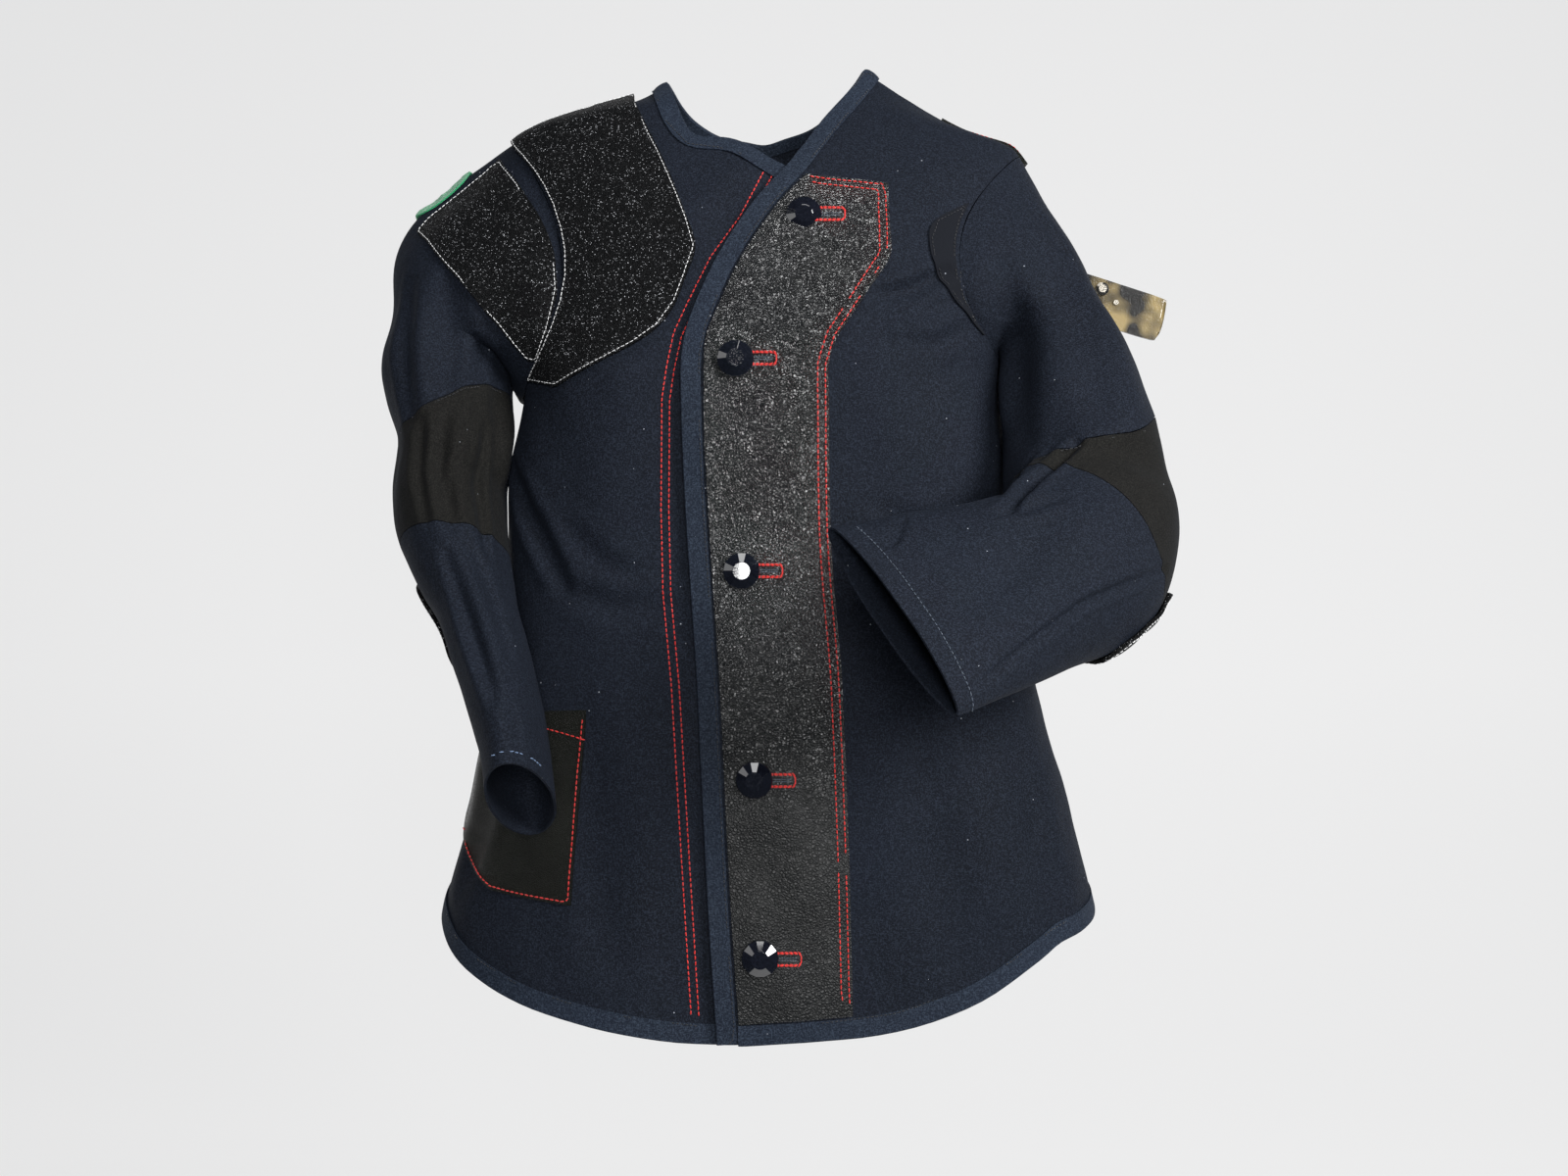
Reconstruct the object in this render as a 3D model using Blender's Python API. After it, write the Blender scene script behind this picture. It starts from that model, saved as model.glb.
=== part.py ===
"""Shooting jacket, filled out as it is worn, in metres with +Z up. The wearer faces -Y.

The origin is the middle of the line between the two shoulder-neck points, where the
jacket is held up. +X is the wearer's left.
"""

import math
from functools import lru_cache

import bmesh
import bpy
import numpy as np
from mathutils import Vector
from mathutils.bvhtree import BVHTree

# Cloth and seams
CANVAS = 0.0018
SLEEVE_CLOTH = 0.0016
SEAM = 0.0004
SLEEVE_SEAM = 0.0008
LAY_GAP = 0.0004
LAID_GAP = 0.0008
SLEEVE_LAY_GAP = 0.0010
SEAM_CLEARANCE = 0.0001
SHEET_REACH = 0.006

# Shares of a face's four corners, for the places that stand for it
SHEET_SHARES = (
    (1.0, 0.0, 0.0, 0.0),
    (0.0, 1.0, 0.0, 0.0),
    (0.0, 0.0, 1.0, 0.0),
    (0.0, 0.0, 0.0, 1.0),
    (0.5, 0.5, 0.0, 0.0),
    (0.0, 0.5, 0.5, 0.0),
    (0.0, 0.0, 0.5, 0.5),
    (0.5, 0.0, 0.0, 0.5),
    (0.5, 0.0, 0.5, 0.0),
    (0.0, 0.5, 0.0, 0.5),
    (0.75, 0.25, 0.0, 0.0),
    (0.25, 0.75, 0.0, 0.0),
    (0.75, 0.0, 0.0, 0.25),
    (0.25, 0.0, 0.0, 0.75),
)
BINDING_WIDTH = 0.0140
BINDING_BACK_WIDTH = 0.0090
BINDING_BACK_GAP = 0.0005
BINDING_CLOTH = 0.0008
LEATHER = 0.0013
GRIT = 0.0024
POCKET_LEATHER = 0.0016
SUEDE = 0.0012

# The right front lies this far under the left one, below both bindings
UNDERLAP_DEPTH = 0.0060
UNDERLAP_LEAD = 0.045
UNDERLAP_RUN = 0.038

# Grid of the cut pieces; the rows of a sleeve's upper arm, elbow band and forearm
SLEEVE_ROWS = (9, 5, 7)
ARMHOLE_STEPS = 12
SIDE_STEPS = 16
RING = 2 * ARMHOLE_STEPS
COLUMN_SHARES = (0.0, 0.10, 0.21, 0.32, 0.43, 0.54, 0.65, 0.76, 0.86, 0.95, 1.0)
LEFT_NECK_STEPS = 4
RIGHT_NECK_STEPS = 8
BACK_NECK_STEPS = 6
LEFT_NECK_ROWS = 5
CURVE_STEPS = 240
SLEEVE_RADIUS = 0.055

# Half widths to the wearer's right and left and depths in front and behind, by height
# Columns: height, right, left, front, back
TORSO = (
    (0.030, 0.030, 0.040, 0.004, 0.012),
    (0.006, 0.062, 0.081, 0.008, 0.026),
    (-0.005, 0.080, 0.098, 0.013, 0.037),
    (-0.018, 0.105, 0.119, 0.023, 0.053),
    (-0.030, 0.146, 0.139, 0.033, 0.064),
    (-0.045, 0.188, 0.166, 0.044, 0.075),
    (-0.058, 0.206, 0.1982, 0.0534, 0.0804),
    (-0.066, 0.209, 0.209, 0.059, 0.083),
    (-0.090, 0.207, 0.211, 0.075, 0.089),
    (-0.140, 0.200, 0.204, 0.099, 0.098),
    (-0.200, 0.192, 0.194, 0.116, 0.103),
    (-0.260, 0.194, 0.190, 0.122, 0.103),
    (-0.330, 0.206, 0.202, 0.120, 0.096),
    (-0.420, 0.209, 0.208, 0.113, 0.088),
    (-0.500, 0.219, 0.222, 0.112, 0.092),
    (-0.600, 0.240, 0.249, 0.118, 0.106),
    (-0.700, 0.264, 0.273, 0.125, 0.118),
    (-0.800, 0.280, 0.290, 0.130, 0.126),
)
SQUARENESS = 0.05

# Large folds of the body, each along a line on it
# Columns: turn a, height a, turn b, height b, width, rise
BODY_FOLDS = (
    (148, -0.275, 118, -0.370, 0.020, -0.0035),
    (158, -0.330, 140, -0.430, 0.018, 0.0040),
    (34, -0.255, 62, -0.262, 0.014, -0.0030),
    (22, -0.380, 50, -0.470, 0.022, 0.0035),
    (-30, -0.300, -70, -0.330, 0.024, -0.0035),
    (-40, -0.400, -100, -0.440, 0.026, 0.0040),
    (-150, -0.300, -112, -0.335, 0.022, -0.0035),
    (-145, -0.415, -95, -0.470, 0.026, 0.0040),
    (-60, -0.520, -66, -0.700, 0.030, 0.0050),
    (-118, -0.540, -112, -0.710, 0.030, 0.0050),
)

# Armholes: heights of the shoulder point and the underarm, reach round the body in degrees
ARMHOLES = {
    "right": {"top": -0.055, "bottom": -0.268, "front": 44.5, "back": 38.0},
    "left": {"top": -0.066, "bottom": -0.243, "front": 48.0, "back": 38.0},
}

# Neck and front edges by place across and height, from the shoulder-neck point down
# Columns: across, height
LEFT_EDGE = (
    (0.0810, 0.0057),
    (0.0666, -0.0209),
    (0.0527, -0.0390),
    (0.0360, -0.0660),
    (0.0198, -0.0907),
    (-0.0034, -0.1195),
    (-0.0210, -0.1464),
    (-0.0382, -0.1788),
    (-0.0517, -0.2118),
    (-0.0580, -0.2290),
    (-0.0594, -0.2459),
    (-0.0594, -0.2829),
    (-0.0566, -0.3567),
    (-0.0482, -0.4900),
    (-0.0407, -0.6349),
    (-0.0325, -0.7537),
)
RIGHT_NECK = (
    (-0.0788, -0.0047),
    (-0.0710, -0.0290),
    (-0.0620, -0.0520),
    (-0.0490, -0.0655),
    (-0.0270, -0.0665),
    (-0.0038, -0.0775),
    (0.0190, -0.0900),
    (0.0450, -0.1060),
)
RIGHT_FRONT_EDGE = ((0.045, -0.106), (0.041, -0.200), (0.030, -0.350), (0.026, -0.748))
MIDDLE_LINE = ((0.0, -0.0230), (0.0, -0.2000), (0.0, -0.4500), (0.0, -0.7480))
BACK_NECK_LEFT = ((0.0810, 0.0057), (0.0600, -0.0120), (0.0380, -0.0250), (0.0000, -0.0350))
BACK_NECK_RIGHT = ((-0.0788, -0.0047), (-0.0620, -0.0185), (-0.0380, -0.0300), (0.0000, -0.0350))

# Heights of the hem round the body, by turn from the wearer's left side over the front
# Columns: turn, height
HEM = (
    (-180, -0.668),
    (-145, -0.708),
    (-90, -0.740),
    (-35, -0.705),
    (0, -0.671),
    (20, -0.677),
    (38, -0.6855),
    (52, -0.7080),
    (72, -0.7435),
    (96, -0.7537),
    (112, -0.7430),
    (127, -0.7265),
    (146, -0.7020),
    (165, -0.6800),
    (180, -0.668),
)

# Sleeve rings from the underarm to the cuff: centre, half width, half depth and the way
# that the sleeve's front line faces
# Columns: x, y, z, width, depth, front x, front y, front z
SLEEVES = {
    "right": (
        (-0.2505, -0.012, -0.2260, 0.0535, 0.066, 0.00, -1.00, 0.00),
        (-0.2440, -0.044, -0.3000, 0.0450, 0.060, 0.00, -1.00, 0.00),
        (-0.2450, -0.058, -0.3450, 0.0433, 0.057, 0.00, -1.00, 0.00),
        (-0.2344, -0.080, -0.3900, 0.0391, 0.055, 0.00, -1.00, 0.10),
        (-0.2142, -0.106, -0.4350, 0.0290, 0.053, 0.00, -1.00, 0.15),
        (-0.1930, -0.134, -0.4850, 0.0268, 0.054, 0.00, -1.00, 0.20),
        (-0.1770, -0.161, -0.5290, 0.0238, 0.055, 0.00, -1.00, 0.25),
        (-0.1680, -0.186, -0.5655, 0.0225, 0.056, 0.00, -1.00, 0.30),
    ),
    "left": (
        (0.2290, -0.030, -0.2180, 0.0460, 0.062, 0.00, -1.00, 0.00),
        (0.2400, -0.074, -0.2860, 0.0565, 0.060, 0.15, -0.98, 0.15),
        (0.2437, -0.099, -0.3390, 0.0637, 0.058, 0.42, -0.82, 0.40),
        (0.2420, -0.128, -0.3730, 0.0700, 0.055, 0.54, -0.72, 0.45),
        (0.2215, -0.161, -0.3990, 0.0690, 0.050, 0.54, -0.72, 0.45),
        (0.1868, -0.193, -0.4125, 0.0660, 0.044, 0.52, -0.70, 0.48),
        (0.1380, -0.234, -0.4250, 0.0715, 0.030, 0.49, -0.66, 0.56),
        (0.0840, -0.280, -0.4365, 0.0770, 0.013, 0.449, -0.611, 0.617),
    ),
}

# How far each sleeve stands out below the shoulder, and the way out for the left one
CAP_RISE = {"right": 0.0245, "left": 0.007}
CAP_WAY = (0.95, 0.0, 0.30)
CAP_LEAN = 1.5

# Elbow bands along each sleeve, in rings, with how far their edges slant at the outside
ELBOW_BANDS = {
    "right": {"top": 1.95, "top_slant": 0.25, "bottom": 4.05, "bottom_slant": -0.25},
    "left": {"top": 2.80, "top_slant": -0.65, "bottom": 4.45, "bottom_slant": 0.25},
}

# Folds along or round a sleeve, by degrees from its outer line over its front, and rings
# Columns: turn a, ring a, turn b, ring b, width, rise
SLEEVE_FOLDS = {
    "right": (
        (60, 1.9, 75, 3.6, 0.012, 0.0040),
        (112, 2.0, 100, 3.9, 0.012, 0.0040),
        (20, 1.8, 30, 3.2, 0.012, -0.0030),
        (150, 1.3, 110, 1.7, 0.012, -0.0030),
        (250, 2.4, 290, 3.4, 0.014, 0.0035),
        (70, 4.6, 95, 6.6, 0.012, -0.0030),
    ),
    "left": (
        (60, 2.2, 135, 3.2, 0.014, 0.0040),
        (40, 2.8, 130, 3.9, 0.012, -0.0040),
        (120, 1.2, 175, 2.4, 0.012, -0.0035),
        (100, 5.0, 60, 6.3, 0.016, 0.0035),
        (140, 6.2, 60, 7.2, 0.014, -0.0030),
        (300, 2.2, 330, 3.4, 0.016, 0.0035),
    ),
}

# Buttons: radius, height, and centres by place across and height
BUTTON_RADIUS = 0.0136
BUTTON_RISE = 0.0060
BUTTON_EDGE = 0.0022
BUTTON_FACE_RADIUS = 0.0058
SHANK_RADIUS = 0.0035
SHANK_HEIGHT = 0.0012
BUTTON_SIDES = 16
BUTTON_CLEARANCE = 0.0005
BUTTONS = (
    (0.0308, -0.1370),
    (-0.0197, -0.2480),
    (-0.0155, -0.4040),
    (-0.0060, -0.5600),
    (-0.0015, -0.6900),
)

# Outer edge of the leather placket, by place across and height
PLACKET_TOP = -0.1010
PLACKET_SLANT = 0.0065
PLACKET_CLEARANCE = 0.0022
PLACKET_FOOT = 0.0007
PLACKET_ROWS = 30
PLACKET_FACES = 5
PLACKET_OUTER = (
    (0.0960, -0.1060),
    (0.0965, -0.1600),
    (0.0800, -0.1900),
    (0.0490, -0.2500),
    (0.0500, -0.3600),
    (0.0600, -0.5000),
    (0.0650, -0.6400),
    (0.0670, -0.7390),
)

# Inner edge of the grit pad on the right shoulder, from the shoulder seam to the armhole
PAD_EDGE = (
    (-0.1100, -0.0180),
    (-0.0760, -0.0900),
    (-0.0530, -0.1500),
    (-0.0530, -0.1700),
    (-0.0780, -0.2230),
    (-0.1560, -0.2640),
)
PAD_ARMHOLE_END = 152.0
PAD_ARMHOLE_MARGIN = 1.6
PAD_SLEEVE_ROWS = 6
PAD_SLEEVE_COLUMNS = 14
PAD_ROWS = 14
PAD_FACES = 9
PAD_ARMHOLE_START = 6.0

# The grit pad on the right sleeve: its edge at the armhole and its lower edge round the sleeve
# Columns: turn, first ring, last ring
PAD_SLEEVE = (
    (24.0, 0.080, 0.580),
    (40.0, 0.085, 0.610),
    (56.0, 0.085, 0.660),
    (72.0, 0.070, 0.700),
    (88.0, 0.045, 0.720),
    (96.0, 0.040, 0.700),
    (104.0, 0.035, 0.650),
    (112.0, 0.035, 0.590),
    (120.0, 0.035, 0.520),
    (128.0, 0.035, 0.420),
    (138.0, 0.035, 0.180),
)

# Patch pocket on the right hip: its outer and inner edges by turn and height, downwards
# Columns: outer turn, outer height, inner turn, inner height
POCKET_STEPS = 3
POCKET_FACES = 8
POCKET = (
    (168.0, -0.516, 121.5, -0.509),
    (167.0, -0.560, 121.0, -0.557),
    (165.5, -0.600, 120.0, -0.604),
    (152.0, -0.628, 119.5, -0.634),
    (139.0, -0.646, 119.0, -0.654),
)

# Grit pads over the elbows: middle turn, first and last ring, half width in degrees
ELBOW_PAD_FACES = 7
ELBOW_PAD_END = 0.45
ELBOW_PADS = {
    "right": {"turn": 312.0, "first": 3.95, "last": 5.70, "half": 44.0},
    "left": {"turn": 338.0, "first": 4.15, "last": 5.45, "half": 42.0},
}

# Oval badge on the right sleeve: middle turn, ring, half width and half height
BADGE = {"turn": 356.0, "ring": 0.36, "half_width": 0.019, "half_height": 0.030}

# Gusset under the left arm: degrees round the armhole, and its width round the body
GUSSET_START = 68.0
GUSSET_END = 140.0
GUSSET_DEGREES = 7.5
GUSSET_TIP = 0.12
GUSSET_ROWS = 7
GUSSET_FACES = 3

# Patch behind the left shoulder: its end round the armhole, its inner edge, and how far
# its upper edge stands up
BACK_PATCH = {
    "armhole_start": 7.0,
    "armhole_end": 88.0,
    "rows": 7,
    "faces": 6,
    "fade": 1.3,
    "turn": -14.0,
    "height": -0.0340,
    "low_turn": -54.0,
    "low_height": -0.1240,
    "rise": 0.0080,
}

# Strap behind the left upper arm, with places of its snaps and eyelets along and across it
STRAP_WIDTH = 0.038
STRAP_LEATHER = 0.0022
STRAP_GAP = 0.0038
STRAP_SEAT = 0.0004
STRAP_REACH = 0.150
STRAP_ROUND = 0.012
STRAP_SPACING = 1.8
STRAP_WAY = (0.95, 0.05, -0.29)
STRAP_RING = 0.16
STRAP_TURN = 285.0
SNAP_RADIUS = 0.0058
SNAP_RISE = 0.0028
SNAPS = ((0.0950, 0.0105), (0.0860, -0.0090))
EYELET_RADIUS = 0.0022
EYELET_RISE = 0.0010
EYELETS = ((0.0670, 0.0115), (0.0770, 0.0110), (0.1100, 0.0030))

NAVY = (0.017, 0.022, 0.036)
NAVY_BINDING = (0.022, 0.030, 0.048)
BAND_BLACK = (0.012, 0.012, 0.011)
LEATHER_BLACK = (0.020, 0.020, 0.020)
POCKET_BLACK = (0.016, 0.017, 0.013)
GRIT_BLACK = (0.010, 0.010, 0.011)
BUTTON_BLACK = (0.004, 0.004, 0.005)
BADGE_GREEN = (0.030, 0.150, 0.050)
STEEL = (0.450, 0.440, 0.420)


def clear_scene():
    for item in list(bpy.data.objects):
        bpy.data.objects.remove(item)


def finish_of(name, colour, roughness, metallic=0.0):
    material = bpy.data.materials.new(name)
    material.use_nodes = True
    shader = material.node_tree.nodes["Principled BSDF"]
    shader.inputs["Base Color"].default_value = (*colour, 1.0)
    shader.inputs["Roughness"].default_value = roughness
    shader.inputs["Metallic"].default_value = metallic
    material.diffuse_color = (*colour, 1.0)
    return material


def unit(vector):
    return vector / max(np.linalg.norm(vector), 1e-12)


def ease(share):
    share = min(max(share, 0.0), 1.0)
    return share * share * (3.0 - 2.0 * share)


def smooth_columns(rows):
    """A smooth curve through every column against the first, which never overshoots."""
    table = np.array(sorted(rows), float)
    place, values = table[:, 0], table[:, 1:]
    steps = np.diff(place)[:, None]
    slopes = np.diff(values, axis=0) / steps
    lean = np.zeros_like(values)
    lean[0], lean[-1] = slopes[0], slopes[-1]
    before, after = slopes[:-1], slopes[1:]
    same_way = before * after > 0
    total = np.where(same_way, before + after, 1.0)
    lean[1:-1] = np.where(same_way, 2.0 * before * after / total, 0.0)

    def at(where):
        index = int(np.clip(np.searchsorted(place, where) - 1, 0, len(place) - 2))
        width = place[index + 1] - place[index]
        share = (min(max(where, place[0]), place[-1]) - place[index]) / width
        start = (1 + 2 * share) * (1 - share) ** 2
        end = share * share * (3 - 2 * share)
        start_lean = share * (1 - share) ** 2 * width
        end_lean = share * share * (share - 1) * width
        return (
            start * values[index]
            + end * values[index + 1]
            + start_lean * lean[index]
            + end_lean * lean[index + 1]
        )

    return at


def smooth_path(rows):
    """A curve through the rows in order, one unit for each row."""
    table = np.array(rows, float)
    lean = np.gradient(table, axis=0)

    def at(where):
        index = int(np.clip(math.floor(where), 0, len(table) - 2))
        share = where - index
        start = (1 + 2 * share) * (1 - share) ** 2
        end = share * share * (3 - 2 * share)
        return (
            start * table[index]
            + end * table[index + 1]
            + share * (1 - share) ** 2 * lean[index]
            + share * share * (share - 1) * lean[index + 1]
        )

    return at


def path_by_length(rows, count=CURVE_STEPS):
    """Places along a curve through the rows, by the share of its length."""
    curve = smooth_path(rows)
    places = np.array([curve(k * (len(rows) - 1) / count) for k in range(count + 1)])
    lengths = np.r_[0, np.cumsum(np.linalg.norm(np.diff(places, axis=0), axis=1))]
    return lambda share: np.array(
        [np.interp(share * lengths[-1], lengths, column) for column in places.T]
    )


torso_size = lru_cache(maxsize=None)(smooth_columns(TORSO))
hem_height = smooth_columns(HEM)
left_edge_across = smooth_columns([(height, across) for across, height in LEFT_EDGE])


def hem_at(turn):
    return float(hem_height((turn + 180.0) % 360.0 - 180.0 if turn > 180.0 else turn)[0])


def section(turn, height):
    """A place on the unfolded body at this turn in degrees and height."""
    right, left, front, back = torso_size(height)
    angle = math.radians(turn)
    across = math.cos(angle) - SQUARENESS * math.cos(3 * angle)
    deep = math.sin(angle) + SQUARENESS * math.sin(3 * angle)
    side = left if across > 0 else right
    depth = front if deep > 0 else back
    scale = 1.0 - SQUARENESS
    return np.array([side * across / scale, -depth * deep / scale, height])


def fold_rise(folds, turn, place, turn_size, place_size):
    """How far the cloth stands out here, from the folds' lines."""
    rise = 0.0
    for turn_a, place_a, turn_b, place_b, width, height in folds:
        start = np.array([turn_a * turn_size, place_a * place_size])
        along = np.array([turn_b * turn_size, place_b * place_size]) - start
        here = np.array([turn * turn_size, place * place_size]) - start
        share = float(np.clip(here @ along / (along @ along), 0.0, 1.0))
        reach = np.linalg.norm(here - share * along) / width
        if reach < 3.0:
            rise += height * math.exp(-reach * reach) * math.sin(math.pi * (0.1 + 0.8 * share))
    return rise


def normal_of(place, first, second, sign, step_first, step_second):
    along = place(first + step_first, second) - place(first - step_first, second)
    down = place(first, second + step_second) - place(first, second - step_second)
    return sign * unit(np.cross(along, down))


BODY_TURN_SIZE = math.radians(1.0) * 0.16


@lru_cache(maxsize=None)
def torso_point(turn, height):
    around = (turn + 180.0) % 360.0 - 180.0
    normal = normal_of(section, turn, height, -1.0, 0.2, 0.0005)
    rise = fold_rise(BODY_FOLDS, around, height, BODY_TURN_SIZE, 1.0)
    return section(turn, height) + normal * rise


@lru_cache(maxsize=None)
def torso_normal(turn, height):
    return normal_of(torso_point, turn, height, -1.0, 0.3, 0.001)


BODY = (torso_point, torso_normal)


def turn_at(across, height, behind=False):
    """The turn at which the body is this far across, in front or behind."""
    low, high = 0.0, 180.0
    for _ in range(40):
        middle = (low + high) / 2
        if section(middle, height)[0] > across:
            low = middle
        else:
            high = middle
    return -low if behind else low


def seam_turn(height, behind=False):
    """The turn that keeps a piece's edge half a seam gap from the side line."""
    depth = torso_size(height)[3 if behind else 2]
    rate = depth * (1 + 3 * SQUARENESS) / (1 - SQUARENESS)
    return math.degrees(0.5 * SEAM / rate)


def armhole_place(side, round_turn):
    """Turn and height on the armhole, round from the shoulder over its front."""
    hole = ARMHOLES[side]
    angle = math.radians(round_turn)
    wave = math.sin(angle)
    reach = hole["front"] if wave >= 0 else hole["back"]
    spread = math.copysign(reach * abs(wave) ** 0.85, wave)
    height = hole["top"] + (hole["bottom"] - hole["top"]) * (1 - math.cos(angle)) / 2
    turn = spread if side == "left" else 180.0 - spread
    return turn, height


class Grid:
    """Rows of turns and heights on the body with their points and normals."""

    def __init__(self, places, points, normals):
        self.places = np.array(places, float)
        self.points = np.array(points, float)
        self.normals = np.array(normals, float)

    def at(self, row, column):
        rows, columns = self.points.shape[:2]
        r = int(np.clip(math.floor(row), 0, rows - 2))
        c = int(np.clip(math.floor(column), 0, columns - 2))
        down, across = row - r, column - c
        weights = ((1 - down) * (1 - across), (1 - down) * across, down * (1 - across), down * across)
        corners = ((r, c), (r, c + 1), (r + 1, c), (r + 1, c + 1))
        point = sum(w * self.points[k] for w, k in zip(weights, corners))
        normal = sum(w * self.normals[k] for w, k in zip(weights, corners))
        return point, unit(normal)


def grid_on(surface, places):
    """The grid of a surface at rows of its own two coordinates."""
    point, normal = surface
    points = [[point(*place) for place in line] for line in places]
    normals = [[normal(*place) for place in line] for line in places]
    return Grid(places, points, normals)


def seam_place(side, behind, height):
    """A place on the side line or shoulder line, half a seam gap to one side of it."""
    turn = seam_turn(height, behind) * (-1.0 if behind else 1.0)
    return (turn, height) if side == "left" else (180.0 - turn, height)


def outer_edge(side, behind):
    """The armhole and side seam of a piece, from the shoulder down."""
    places = []
    for step in range(ARMHOLE_STEPS + 1):
        angle = 180.0 * step / ARMHOLE_STEPS
        places.append(armhole_place(side, -angle if behind else angle))
    places[0] = seam_place(side, behind, places[0][1])
    bottom = ARMHOLES[side]["bottom"]
    hem = hem_at(0.0 if side == "left" else 180.0)
    for step in range(SIDE_STEPS + 1):
        height = bottom + (hem - bottom) * step / SIDE_STEPS
        places[ARMHOLE_STEPS + step :] = [seam_place(side, behind, height)]
    return places


def inner_edge(neck, neck_steps, edge, behind):
    """The neck and then the front edge or middle line of a piece, one place for each row."""
    places = []
    on_neck = path_by_length(neck)
    for step in range(neck_steps + 1):
        across, height = on_neck(step / neck_steps)
        places.append((turn_at(across, height, behind), height))
    on_edge = path_by_length(edge)
    shares = np.linspace(0.0, 1.0, 401)
    samples = np.array([on_edge(share) for share in shares])
    upper_steps = ARMHOLE_STEPS - neck_steps
    upper_end = ARMHOLES["right"]["bottom"]
    turning = float(np.interp(-upper_end, -samples[:, 1], shares))
    for step in range(1, upper_steps + 1):
        across, height = on_edge(turning * step / upper_steps)
        places.append((turn_at(across, height, behind), height))
    for step in range(1, SIDE_STEPS + 1):
        across, height = on_edge(turning + (1.0 - turning) * step / SIDE_STEPS)
        places.append((turn_at(across, height, behind), height))
    return places


def body_places(outer, inner):
    """Rows of places between a piece's outer and inner edges, ending on the hem."""
    outer, inner = np.array(outer), np.array(inner)
    hem = [hem_at(outer[-1, 0] + (inner[-1, 0] - outer[-1, 0]) * s) for s in COLUMN_SHARES]
    places = []
    for row in range(len(outer)):
        low = ease((row - ARMHOLE_STEPS) / SIDE_STEPS)
        line = []
        for share, level in zip(COLUMN_SHARES, hem):
            place = outer[row] + (inner[row] - outer[row]) * share
            straight = outer[-1, 1] + (inner[-1, 1] - outer[-1, 1]) * share
            place[1] += (level - straight) * low
            line.append(place)
        places.append(line)
    return places


def under_depth(point):
    """How deep the right front runs below the left one at this point."""
    lead = point[0] - (float(left_edge_across(point[2])[0]) - UNDERLAP_LEAD)
    return UNDERLAP_DEPTH * ease(lead / UNDERLAP_RUN)


def under_point(turn, height):
    point = torso_point(turn, height)
    return point - torso_normal(turn, height) * under_depth(point)


def front_left_places():
    places = inner_edge(LEFT_EDGE[:LEFT_NECK_ROWS], LEFT_NECK_STEPS, LEFT_EDGE[LEFT_NECK_ROWS - 1 :], False)
    places[0] = seam_place("left", False, LEFT_EDGE[0][1])
    return body_places(outer_edge("left", False), places)


def front_right_places():
    places = inner_edge(RIGHT_NECK, RIGHT_NECK_STEPS, RIGHT_FRONT_EDGE, False)
    places[0] = seam_place("right", False, RIGHT_NECK[0][1])
    return body_places(outer_edge("right", False), places)


def back_half_places(side, neck):
    places = inner_edge(neck, BACK_NECK_STEPS, MIDDLE_LINE, True)
    places[0] = seam_place(side, True, neck[0][1])
    places = [(turn % 360.0 if side == "right" else turn, height) for turn, height in places]
    return body_places(outer_edge(side, True), places)


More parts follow.
